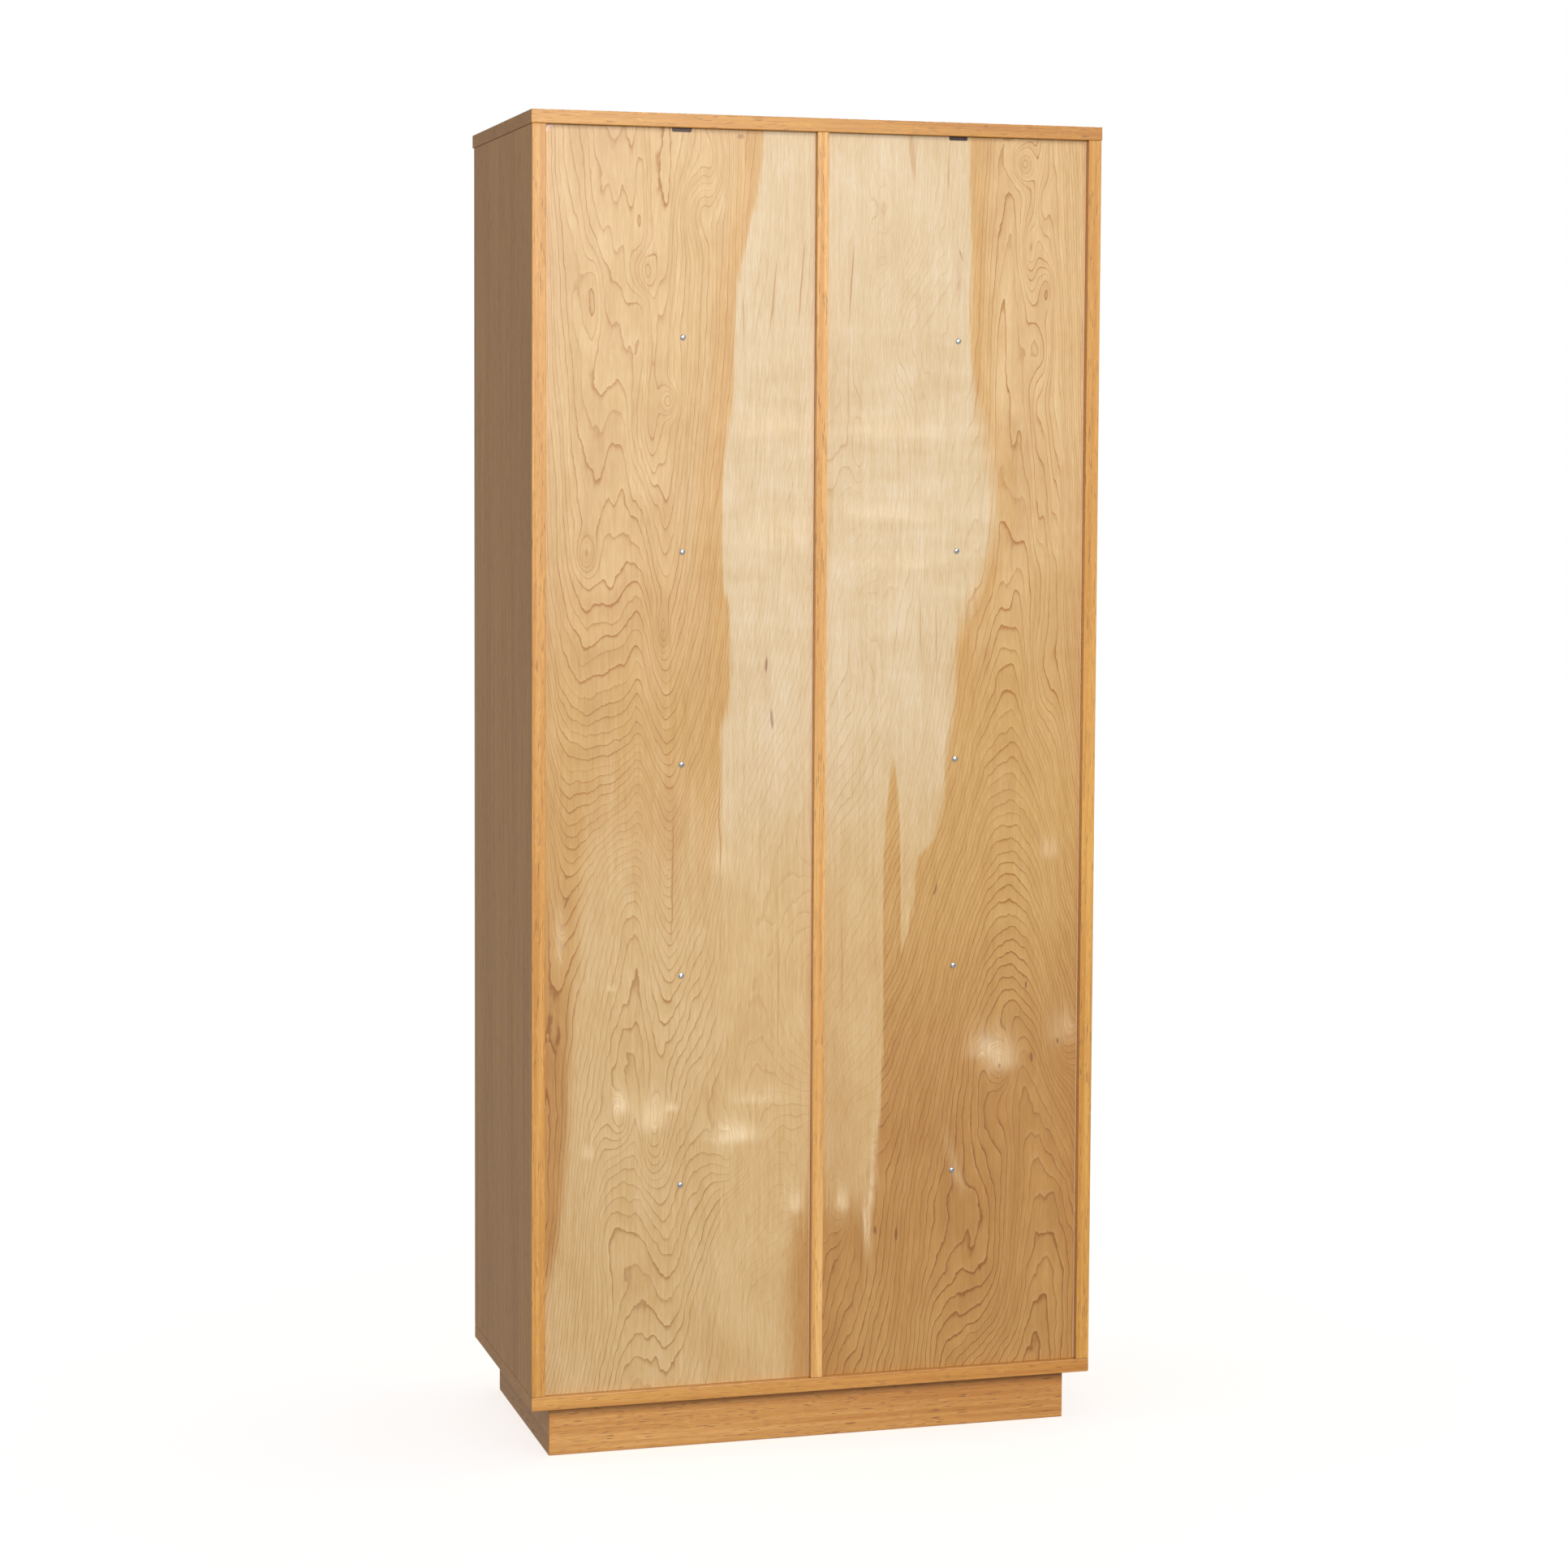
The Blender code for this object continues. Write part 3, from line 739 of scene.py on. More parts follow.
@dataclass(frozen=True)
class MouldedPlastic:
    """Moulded plastic with a fine spark-eroded skin."""

    name: str
    colour: Colour
    roughness: float = 0.46

    def material(self) -> bpy.types.Material:
        """Build the plastic."""
        sheet = Sheet(self.name)
        skin = sheet.noise((2200.0, 2200.0, 2200.0), 2.0, 0.6)
        dust = sheet.noise((90.0, 90.0, 90.0), 3.0, 0.6, 2.0)
        dusty = tuple(0.5 * part + 0.28 for part in self.colour)
        colour = sheet.mix(dust.rise(0.0, 0.6) * 0.20, self.colour, dusty)
        sheet.bump(skin, 0.00003)
        return sheet.finish(colour, dust * 0.12 + self.roughness)


# ---------------------------------------------------------------- making pieces


class Shape:
    """A bmesh on its way to a piece, and the operators that shape it."""

    def __init__(self) -> None:
        """Start with nothing."""
        self.mesh = bmesh.new()

    def turned(self, profile: Sequence[tuple[float, float]], steps: int) -> Shape:
        """Spin a profile round +Z.

        Args:
            profile: (radius, height) pairs that start and end on the axis.
            steps: how many flats make the round.

        Returns:
            The shape itself.
        """
        points = [self.mesh.verts.new((radius, 0.0, height)) for radius, height in profile]
        edges = [self.mesh.edges.new(pair) for pair in zip(points, points[1:])]
        bmesh.ops.spin(
            self.mesh, geom=points + edges, cent=(0, 0, 0), axis=(0, 0, 1), angle=TURN, steps=steps,
            use_merge=True, use_duplicate=False,
        )
        return self.cleaned()

    def box(
        self, low: Sequence[float], high: Sequence[float], ease: float = 0.0, segments: int = 2
    ) -> Shape:
        """Add a block between two corners.

        Args:
            low: its lowest corner.
            high: its highest corner.
            ease: how far its edges are rounded.
            segments: how many steps the rounding takes.

        Returns:
            The shape itself.
        """
        size = [b - a for a, b in zip(low, high)]
        middle = [(a + b) / 2.0 for a, b in zip(low, high)]
        matrix = Matrix.Translation(middle) @ Matrix.Diagonal((*size, 1.0))
        made = bmesh.ops.create_cube(self.mesh, size=1.0, matrix=matrix)["verts"]
        if ease:
            edges = list({edge for vertex in made for edge in vertex.link_edges})
            bmesh.ops.bevel(
                self.mesh, geom=edges, offset=ease, offset_type="OFFSET", segments=segments, profile=0.5,
                affect="EDGES", material=-1, clamp_overlap=True,
            )
        return self

    def placed(self, matrix: Matrix) -> Shape:
        """Move, turn or scale all of it."""
        bmesh.ops.transform(self.mesh, matrix=matrix, verts=self.mesh.verts)
        return self

    def cleaned(self) -> Shape:
        """Merge doubled points and turn the faces outwards."""
        bmesh.ops.remove_doubles(self.mesh, verts=self.mesh.verts, dist=1e-6)
        bmesh.ops.recalc_face_normals(self.mesh, faces=self.mesh.faces)
        return self

    def data(self, name: str) -> bpy.types.Mesh:
        """Hand over the finished mesh data."""
        mesh = bpy.data.meshes.new(name)
        self.mesh.to_mesh(mesh)
        self.mesh.free()
        return mesh


def carved(blank: bpy.types.Mesh, cutters: Iterable[bpy.types.Mesh]) -> bpy.types.Mesh:
    """Cut shapes out of a mesh.

    Args:
        blank: the mesh that is cut.
        cutters: closed meshes that are taken away.

    Returns:
        A new mesh with the cuts.
    """
    scene = bpy.context.scene
    piece = bpy.data.objects.new("blank", blank)
    helpers = [bpy.data.objects.new("cutter", cutter) for cutter in cutters]
    for thing in (piece, *helpers):
        scene.collection.objects.link(thing)
    for helper in helpers:
        cut = piece.modifiers.new("cut", "BOOLEAN")
        cut.operation = "DIFFERENCE"
        cut.solver = "EXACT"
        cut.object = helper
    evaluated = piece.evaluated_get(bpy.context.evaluated_depsgraph_get())
    result = bpy.data.meshes.new_from_object(evaluated)
    for thing in (piece, *helpers):
        bpy.data.objects.remove(thing)
    return result


def add_piece(
    name: str,
    mesh: bpy.types.Mesh,
    material: bpy.types.Material,
    body: str,
    sharp: float = 35.0,
    stands_for: str | None = None,
) -> bpy.types.Object:
    """Make a piece of the cabinet that isn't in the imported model.

    Args:
        name: the piece's name.
        mesh: its mesh, already in place.
        material: its finish.
        body: the body that it rides on.
        sharp: edges steeper than this many degrees stay sharp.
        stands_for: the node that it replaces, if any.

    Returns:
        The piece.
    """
    mesh.materials.clear()
    mesh.materials.append(material)
    mesh.shade_smooth()
    mesh.set_sharp_from_angle(angle=math.radians(sharp))
    piece = bpy.data.objects.new(name, mesh)
    bpy.context.scene.collection.objects.link(piece)
    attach(piece, body)
    if stands_for:
        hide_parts(stands_for)
    logger.info("made %s on %s", name, body)
    return piece


def dress(names: Iterable[str], material: bpy.types.Material) -> None:
    """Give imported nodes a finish."""
    for name in names:
        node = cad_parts[name]
        for slot in node.material_slots:
            slot.material = material
        logger.info("dressed %s in %s", name, material.name)


def facing(place: Sequence[float], direction: Sequence[float]) -> Matrix:
    """Stand a shape that points up +Z at a place, so that it points in a direction."""
    turn = Vector(direction).to_track_quat("Z", "Y").to_matrix().to_4x4()
    return Matrix.Translation(place) @ turn


# ---------------------------------------------------------------- sub-assemblies


@dataclass
class CaseBoards:
    """The oak boards of the case and its plinth."""

    # Each tint is one oak made lighter or darker for its board, to match how bright that board looked under
    # the light: painted light on the divider and painted shade on the top board. The sides and plinth differ
    # from plain oak only slightly.
    near_tint: Colour = (0.650, 0.312, 0.051)
    far_tint: Colour = (0.648, 0.316, 0.049)
    divider_painted_light_tint: Colour = (0.730, 0.385, 0.096)
    cap_painted_shade_tint: Colour = (0.592, 0.271, 0.034)
    plinth_tint: Colour = (0.645, 0.310, 0.070)

    def build(self) -> None:
        """Dress every board in oak, with the grain along it."""
        upright = OakVeneer("oak_upright", Grain.UPRIGHT, 1.0, self.near_tint).material()
        far_side = OakVeneer("oak_far_side", Grain.UPRIGHT, 3.0, self.far_tint).material()
        divider = OakVeneer("oak_divider", Grain.UPRIGHT, 17.0, self.divider_painted_light_tint).material()
        cap = OakVeneer("oak_cap", Grain.LEVEL, 5.0, self.cap_painted_shade_tint, painted_falloff_shade=0.6).material()
        level = OakVeneer("oak_level", Grain.LEVEL, 5.0, painted_falloff_shade=1.0).material()
        long_plinth = OakVeneer(
            "oak_plinth_long", Grain.LEVEL, 9.0, self.plinth_tint, coarse=1.35, painted_falloff_shade=0.9
        ).material()
        deep_plinth = OakVeneer(
            "oak_plinth_deep", Grain.DEEP, 11.0, self.plinth_tint, coarse=1.15
        ).material()
        shelves = [f"shelf_{bay}_{number}" for bay in BAYS for number in range(1, 6)]
        dress(["side_right"], upright)
        dress(["side_left"], far_side)
        dress(["divider"], divider)
        dress(["top_board"], cap)
        dress(["bottom_board", *shelves], level)
        dress(["plinth_front", "plinth_back"], long_plinth)
        dress(["plinth_left", "plinth_right", "plinth_rail"], deep_plinth)


@dataclass
class Backs:
    """The two plywood backs, cut from one log, and the figure of each."""

    figures: dict[str, BirchFigure] = field(default_factory=dict)

    def __post_init__(self) -> None:
        """Lay out the figure of each panel."""
        middles = {}
        for bay in BAYS:
            low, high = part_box(f"back_panel_{bay}")
            middles[bay] = (low.x + high.x) / 2.0
        self.figures["right"] = self.near_figure(middles["right"])
        self.figures["left"] = self.far_figure(middles["left"])

    @staticmethod
    def near_figure(middle: float) -> BirchFigure:
        """The panel with the torn corner: heartwood to the left, with two hanging nests of lines."""
        return BirchFigure(
            name="birch_right",
            middle=middle,
            heart_side=-1.0,
            heart_edge=(
                (0.00, 0.064), (0.84, 0.064), (0.97, 0.060), (1.04, 0.062), (1.13, 0.075), (1.22, 0.072),
                (1.30, 0.061), (1.54, 0.077), (1.66, 0.082), (1.75, 0.097), (1.90, 0.118), (2.00, 0.120),
            ),
            gold_edge=(
                (0.00, -0.230), (0.22, -0.205), (0.27, -0.188), (0.35, -0.172), (0.46, -0.163),
                (0.60, -0.155), (0.78, -0.145), (0.92, -0.130), (1.05, -0.100), (2.00, 0.100),
            ),
            gold_from=(0.78, 1.08),
            softness=((0.00, 0.020), (0.60, 0.020), (0.88, 0.020), (0.98, 0.006), (2.00, 0.006)),
            climb=((0.05, 0.0), (0.70, 20.0), (1.20, 47.0), (1.38, 52.0), (1.95, 59.0)),
            drape=(
                (-0.198, 8.8), (-0.185, 5.0), (-0.165, 1.6), (-0.140, 0.3), (-0.120, 0.0), (-0.090, 0.3),
                (-0.075, 0.8), (-0.060, 1.7), (-0.050, 0.7), (-0.035, -1.0), (-0.018, -2.1), (-0.002, -1.1),
                (0.015, 1.6), (0.035, 4.8), (0.055, 8.8), (0.075, 13.0), (0.100, 18.0), (0.130, 22.5),
                (0.160, 26.5), (0.198, 31.0),
            ),
            loose=(1.12, 1.42),
            spread=((0.00, 0.45), (0.58, 0.50), (0.80, 0.75), (1.02, 1.00), (2.00, 1.00)),
            swirls=(
                Patch(-0.080, 0.800, 0.045, 0.170, -4.6), Patch(-0.014, 0.860, 0.016, 0.130, 1.6),
                Patch(-0.250, 0.220, 0.095, 0.500, 32.0), Patch(0.240, 0.640, 0.100, 0.240, 14.0),
                Patch(0.240, 0.180, 0.130, 0.250, -8.0), Patch(0.108, 0.740, 0.040, 0.120, -3.0),
                Patch(-0.027, 1.190, 0.012, 0.034, 3.0), Patch(-0.137, 1.300, 0.012, 0.024, 3.5),
                Patch(-0.056, 1.701, 0.016, 0.034, 4.5), Patch(-0.017, 1.518, 0.012, 0.020, 4.0),
                Patch(-0.055, 1.480, 0.020, 0.080, 4.0), Patch(0.020, 1.790, 0.026, 0.050, -4.0),
                Patch(0.048, 1.860, 0.020, 0.050, 4.0), Patch(-0.129, 1.665, 0.016, 0.070, -4.0),
                Patch(-0.086, 0.490, 0.015, 0.040, 3.5), Patch(-0.038, 0.470, 0.022, 0.070, 5.0),
                Patch(0.083, 0.435, 0.040, 0.060, 5.5), Patch(0.100, 0.220, 0.040, 0.080, -3.5),
                Patch(-0.110, 0.330, 0.030, 0.090, -4.0), Patch(0.176, 0.390, 0.014, 0.060, 3.0),
            ),
            tongues=(),
            knot_halos_and_sheen=(
                Patch(-0.086, 0.509, 0.012, 0.022, 0.70), Patch(-0.040, 0.487, 0.021, 0.034, 0.75),
                Patch(-0.012, 0.500, 0.011, 0.010, 0.55), Patch(0.083, 0.458, 0.036, 0.020, 0.80),
                Patch(0.120, 0.510, 0.036, 0.012, 0.35), Patch(0.176, 0.352, 0.009, 0.022, 0.75),
                Patch(-0.134, 0.443, 0.010, 0.016, 0.45), Patch(-0.100, 0.679, 0.006, 0.007, 0.55),
                Patch(-0.176, 0.745, 0.009, 0.050, 0.45), Patch(0.060, 0.860, 0.014, 0.030, 0.35),
                # Painted sheen: these two wide flat patches high up by the divider; the patches above them
                # are pale wood round knots.
                Patch(0.150, 1.330, 0.060, 0.030, 0.30), Patch(0.140, 1.480, 0.060, 0.022, 0.30),
            ),
            stains=(
                Patch(-0.137, 1.297, 0.010, 0.014, 0.35), Patch(-0.027, 1.180, 0.010, 0.026, 0.45),
                Patch(-0.012, 0.930, 0.012, 0.060, 0.30), Patch(0.183, 0.250, 0.008, 0.110, 0.30),
                Patch(-0.118, 0.800, 0.012, 0.050, 0.18), Patch(0.130, 1.120, 0.008, 0.050, 0.22),
                Patch(-0.165, 0.780, 0.035, 0.090, 0.13),
            ),
            flecks=(
                Patch(0.128, 1.141, 0.0024, 0.012, 0.75, 0.05),
                Patch(0.137, 1.063, 0.0020, 0.016, 0.60, -0.08),
                Patch(-0.166, 0.806, 0.0018, 0.011, 0.65, 0.35), Patch(0.087, 1.895, 0.0060, 0.004, 0.50),
                Patch(-0.018, 0.840, 0.0009, 0.0014, 0.80), Patch(0.191, 0.291, 0.0009, 0.0014, 0.80),
                Patch(-0.058, 0.873, 0.0008, 0.0012, 0.60),
            ),
            threads=(
                Patch(-0.011, 0.830, 0.0016, 0.100, 0.80), Patch(0.178, 1.690, 0.0015, 0.070, 0.75, 0.06),
                Patch(0.135, 1.670, 0.0015, 0.055, 0.70, 0.10), Patch(0.092, 1.640, 0.0012, 0.034, 0.55),
                Patch(0.061, 0.905, 0.0013, 0.090, 0.75), Patch(0.148, 0.670, 0.0010, 0.110, 0.45),
            ),
            foot_side=1.0,
            seed=2.0,
        )

    @staticmethod
    def far_figure(middle: float) -> BirchFigure:
        """The other panel: heartwood to the right, with one tall nest of arches over a burl."""
        return BirchFigure(
            name="birch_left",
            middle=middle,
            heart_side=1.0,
            heart_edge=(
                (0.00, -0.250), (0.24, -0.235), (0.34, -0.165), (0.40, -0.125), (0.47, -0.110),
                (0.57, -0.105), (0.66, -0.104), (0.70, -0.088), (0.74, -0.070), (0.80, -0.061),
                (0.84, -0.059), (0.87, -0.040), (0.89, -0.026), (0.95, -0.017), (1.01, -0.012),
                (1.10, -0.002), (1.15, -0.001), (1.18, 0.005), (1.24, 0.024), (1.30, 0.045),
                (1.36, 0.056), (1.45, 0.044), (1.54, 0.025), (1.75, 0.020), (1.90, 0.018), (2.00, 0.018),
            ),
            gold_edge=((0.00, -0.240), (2.00, -0.240)),
            gold_from=(-1.0, -0.9),
            softness=(
                (0.00, 0.080), (0.30, 0.080), (0.40, 0.020), (0.48, 0.004), (0.84, 0.006), (0.90, 0.012),
                (1.16, 0.016), (1.26, 0.036), (1.48, 0.036), (1.56, 0.008), (2.00, 0.008),
            ),
            climb=((0.05, 0.0), (0.45, 8.0), (0.72, 20.0), (1.06, 36.5), (1.25, 41.5), (1.95, 50.0)),
            drape=(
                (-0.198, -33.0), (-0.160, -30.0), (-0.120, -26.5), (-0.090, -23.0), (-0.060, -18.5),
                (-0.030, -13.6), (0.000, -9.0), (0.020, -5.6), (0.040, -2.8), (0.060, -0.9), (0.086, 0.0),
                (0.110, -1.0), (0.130, -3.0), (0.150, -6.4), (0.170, -10.5), (0.198, -16.5),
            ),
            loose=(1.05, 1.35),
            spread=((0.00, 0.90), (0.40, 1.00), (2.00, 1.00)),
            swirls=(
                Patch(0.078, 0.548, 0.020, 0.040, 5.0), Patch(0.178, 0.575, 0.018, 0.050, 4.0),
                Patch(0.135, 1.120, 0.024, 0.090, 5.0), Patch(0.064, 0.260, 0.062, 0.200, 13.0),
                Patch(0.260, 0.300, 0.120, 0.320, -16.0), Patch(0.086, 0.420, 0.020, 0.070, 2.5),
                Patch(-0.140, 1.444, 0.030, 0.085, 5.0), Patch(-0.138, 1.215, 0.030, 0.075, -5.0),
                Patch(-0.085, 1.620, 0.060, 0.120, -7.0), Patch(-0.110, 1.780, 0.030, 0.070, 4.0),
                Patch(0.100, 1.868, 0.018, 0.026, 6.0), Patch(0.140, 1.683, 0.014, 0.035, -4.0),
                Patch(0.112, 1.745, 0.014, 0.045, 4.0), Patch(0.128, 1.810, 0.012, 0.045, 3.5),
                Patch(0.130, 1.600, 0.020, 0.050, -3.5), Patch(-0.167, 0.350, 0.016, 0.060, 3.5),
                Patch(-0.150, 0.450, 0.050, 0.120, -5.0),
            ),
            tongues=(Patch(-0.0925, 0.740, 0.0145, 0.270),),
            knot_halos_and_sheen=(
                Patch(0.050, 0.570, 0.020, 0.030, 0.50), Patch(0.080, 0.552, 0.022, 0.034, 0.60),
                Patch(0.178, 0.590, 0.022, 0.030, 0.35), Patch(-0.167, 0.347, 0.010, 0.020, 0.75),
                Patch(-0.122, 0.370, 0.006, 0.100, 0.55, 0.06), Patch(0.150, 0.860, 0.016, 0.022, 0.30),
                # Painted sheen: the three wide flat patches at 1.29 to 1.48 m by the divider; the other
                # patches are pale wood round knots.
                Patch(-0.110, 1.360, 0.070, 0.020, 0.30), Patch(-0.100, 1.480, 0.070, 0.022, 0.30),
                Patch(-0.090, 1.290, 0.080, 0.016, 0.25), Patch(0.010, 0.380, 0.008, 0.050, 0.30, -0.3),
                Patch(-0.128, 0.300, 0.006, 0.060, 0.55, -0.1),
            ),
            stains=(
                Patch(0.073, 0.500, 0.007, 0.050, 0.30), Patch(0.128, 0.600, 0.008, 0.120, 0.26),
                Patch(0.180, 0.500, 0.020, 0.120, 0.22), Patch(0.140, 1.683, 0.008, 0.016, 0.25),
                Patch(0.003, 1.700, 0.007, 0.035, 0.35), Patch(0.100, 1.868, 0.010, 0.018, 0.18),
                Patch(-0.080, 0.200, 0.014, 0.070, 0.25), Patch(0.030, 0.300, 0.016, 0.030, 0.20),
                Patch(0.045, 1.880, 0.014, 0.030, 0.25), Patch(0.190, 1.150, 0.020, 0.200, 0.15),
                Patch(-0.170, 0.420, 0.060, 0.150, 0.20),
            ),
            flecks=(
                Patch(0.126, 0.552, 0.0022, 0.008, 0.70, -0.1), Patch(0.116, 0.661, 0.0013, 0.006, 0.85),
                Patch(0.167, 0.575, 0.0018, 0.005, 0.75), Patch(-0.026, 0.808, 0.0018, 0.009, 0.70, 0.3),
                Patch(-0.115, 0.306, 0.0026, 0.007, 0.75), Patch(-0.083, 0.298, 0.0024, 0.011, 0.80),
                Patch(0.006, 1.734, 0.0012, 0.010, 0.45, -0.3),
                Patch(0.002, 1.690, 0.0011, 0.009, 0.40, 0.2), Patch(0.076, 0.541, 0.0022, 0.004, 0.45),
            ),
            threads=(
                Patch(-0.161, 1.690, 0.0015, 0.065, 0.75, 0.06),
                Patch(-0.070, 1.880, 0.0045, 0.045, 0.45, -0.10),
                Patch(-0.015, 1.850, 0.0015, 0.030, 0.50), Patch(-0.052, 1.195, 0.0014, 0.060, 0.45),
                Patch(-0.028, 1.180, 0.0014, 0.050, 0.45), Patch(-0.170, 0.700, 0.0012, 0.080, 0.50),
                Patch(0.064, 0.650, 0.0020, 0.050, 0.35),
            ),
            foot_side=-1.0,
            seed=31.0,
        )

    def build(self) -> None:
        """Dress each panel in its own figure."""
        for bay, figure in self.figures.items():
            dress([f"back_panel_{bay}"], BirchVeneer(figure).material())


@dataclass
class Screws:
    """Cross-recess screws: pan heads in the backs, small raised heads in the fittings."""

    zinc: bpy.types.Material
    bronze: bpy.types.Material
    head_steps: int = 40
    shank_radius: float = 0.0020
    thread_height: float = 0.0004
    neck: float = 0.0020
    tip: float = 0.0040
    pitch: float = 0.0014
    small_steps: int = 28
    small_radius: float = 0.0031
    small_core: float = 0.0012
    small_sink: float = 0.0020
    small_length: float = 0.0120
    small_crown: float = 0.0006

    def recess(self, width: float, arm: float, top: float, bottom: float) -> list[bpy.types.Mesh]:
        """Two tapered bars that cut a cross.

        Args:
            width: how wide an arm is.
            arm: half the cross's span at its top.
            top: height above which nothing is left to cut.
            bottom: height of the cross's floor.

        Returns:
            The two bars as closed meshes.
        """
        bars = []
        for quarter in (0.0, TURN / 4.0):
            bar = Shape().box((-arm, -width / 2.0, bottom), (arm, width / 2.0, top))
            floor = [vertex for vertex in bar.mesh.verts if vertex.co.z < (top + bottom) / 2.0]
            bmesh.ops.scale(bar.mesh, vec=(0.35, 0.75, 1.0), verts=floor)
            bars.append(bar.placed(Matrix.Rotation(quarter, 4, "Z")).data("bar"))
        return bars

    def pan_head(self, radius: float, height: float, length: float) -> bpy.types.Mesh:
        """A pan-head screw that points up +Z from its seat at 0.

        Args:
            radius: the head's radius.
            height: the head's height.
            length: how far the shank goes down.

        Returns:
            The screw's mesh.
        """
        arc = 10
        angles = [TURN / 4.0 * step / arc for step in range(1, arc + 1)]
        side, crown = height * 0.30, height * 0.70
        dome = [(radius * math.sin(angle) ** 0.9, side + crown * math.cos(angle)) for angle in angles]
        threads = int((length - self.neck - self.tip) / self.pitch)
        core, crest = self.shank_radius, self.shank_radius + self.thread_height
        shank = [(core, 0.0), (core, -self.neck)]
        for turn in range(threads):
            start = -self.neck - turn * self.pitch
            shank += [(crest, start - self.pitch * 0.5), (core, start - self.pitch)]
        rim = [(radius * 0.99, 0.0002), (radius * 0.95, 0.0)]
        profile = [(0.0, height), *dome, *rim, *shank, (0.0, -length)]
        head = Shape().turned(profile, self.head_steps).data("head")
        return carved(head, self.recess(radius * 0.23, radius * 0.56, height * 1.5, height * 0.30))

    def raised_head(self, crown: float) -> bpy.types.Mesh:
        """A small countersunk screw whose rim is at 0 and whose crown stands proud of it."""
        radius, core = self.small_radius, self.small_core
        arc = 5
        dome = [(radius * step / arc, crown * (1.0 - (step / arc) ** 2)) for step in range(1, arc)]
        sink = [(radius, 0.0), (radius, -0.0001), (core, -self.small_sink)]
        point = [(core, self.small_sink - self.small_length), (0.0, -self.small_length)]
        profile = [(0.0, crown), *dome, *sink, *point]
        head = Shape().turned(profile, self.small_steps).data("raised_head")
        return carved(head, self.recess(radius * 0.24, radius * 0.55, crown * 2.0 + 0.001, crown * 0.25))

    def group(
        self,
        name: str,
        blank: bpy.types.Mesh,
        places: Iterable[Matrix],
        material: bpy.types.Material,
        body: str,
    ) -> None:
        """Join copies of one screw into a piece.

        Args:
            name: the piece's name.
            blank: one screw.
            places: where each copy goes.
            material: the finish.
            body: the body that they ride on.
        """
        shape = Shape()
        for place in places:
            copy = blank.copy()
            copy.transform(place)
            shape.mesh.from_mesh(copy)
        add_piece(name, shape.data(name), material, body, 40.0)

    def build(self) -> None:
        """Put a pan-head screw at each of the ten that hold the backs, each turned its own way."""
        for bay in BAYS:
            for number in range(1, 6):
                node = f"back_screw_{bay}_{number}"
                low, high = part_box(node)
                seat = (low.x + high.x) / 2.0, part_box(f"back_panel_{bay}")[1].y, (low.z + high.z) / 2.0
                radius = (high.z - low.z) / 2.0
                screw = self.pan_head(radius, high.y - seat[1], seat[1] - low.y)
                spin = Matrix.Rotation(number * 0.83 + (1.7 if bay == "left" else 0.4), 4, "Z")
                screw.transform(facing(seat, (0.0, 1.0, 0.0)) @ spin)
                add_piece(node.replace("back_", "pan_"), screw, self.zinc, CASE, 38.0, node)


@dataclass
class Hinges:
    """Three butt hinges to a door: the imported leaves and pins, and the screws that hold the leaves."""

    screws: Screws
    leaf_face: float = 0.0009
    screw_rise: float = 0.0215
    screw_depths: tuple[float, float] = (0.0085, 0.0140)

    def build(self) -> None:
        """Dress the hinges and screw down each leaf with three raised heads."""
        blank = self.screws.raised_head(self.screws.small_crown)
        for bay, sign in BAYS.items():
            for number in range(1, 4):
                hinge = f"hinge_{bay}_{number}"
                dress([f"{hinge}_{part}" for part in ("case_leaf", "door_leaf", "pin")], self.screws.bronze)
                low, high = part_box(f"{hinge}_pin")
                axis = (low + high) / 2.0
                for part, outer, body in (("case", 1.0, CASE), ("door", -1.0, f"{bay}_door")):
                    x = axis.x + sign * outer * self.leaf_face
                    near, far = self.screw_depths
                    places = [
                        facing((x, axis.y + depth, axis.z + rise), (-sign * outer, 0.0, 0.0))
                        @ Matrix.Rotation(rise * 90.0 + number, 4, "Z")
                        for rise, depth in ((-self.screw_rise, near), (0.0, far), (self.screw_rise, near))
                    ]
                    self.screws.group(f"{hinge}_{part}_screws", blank, places, self.screws.bronze, body)


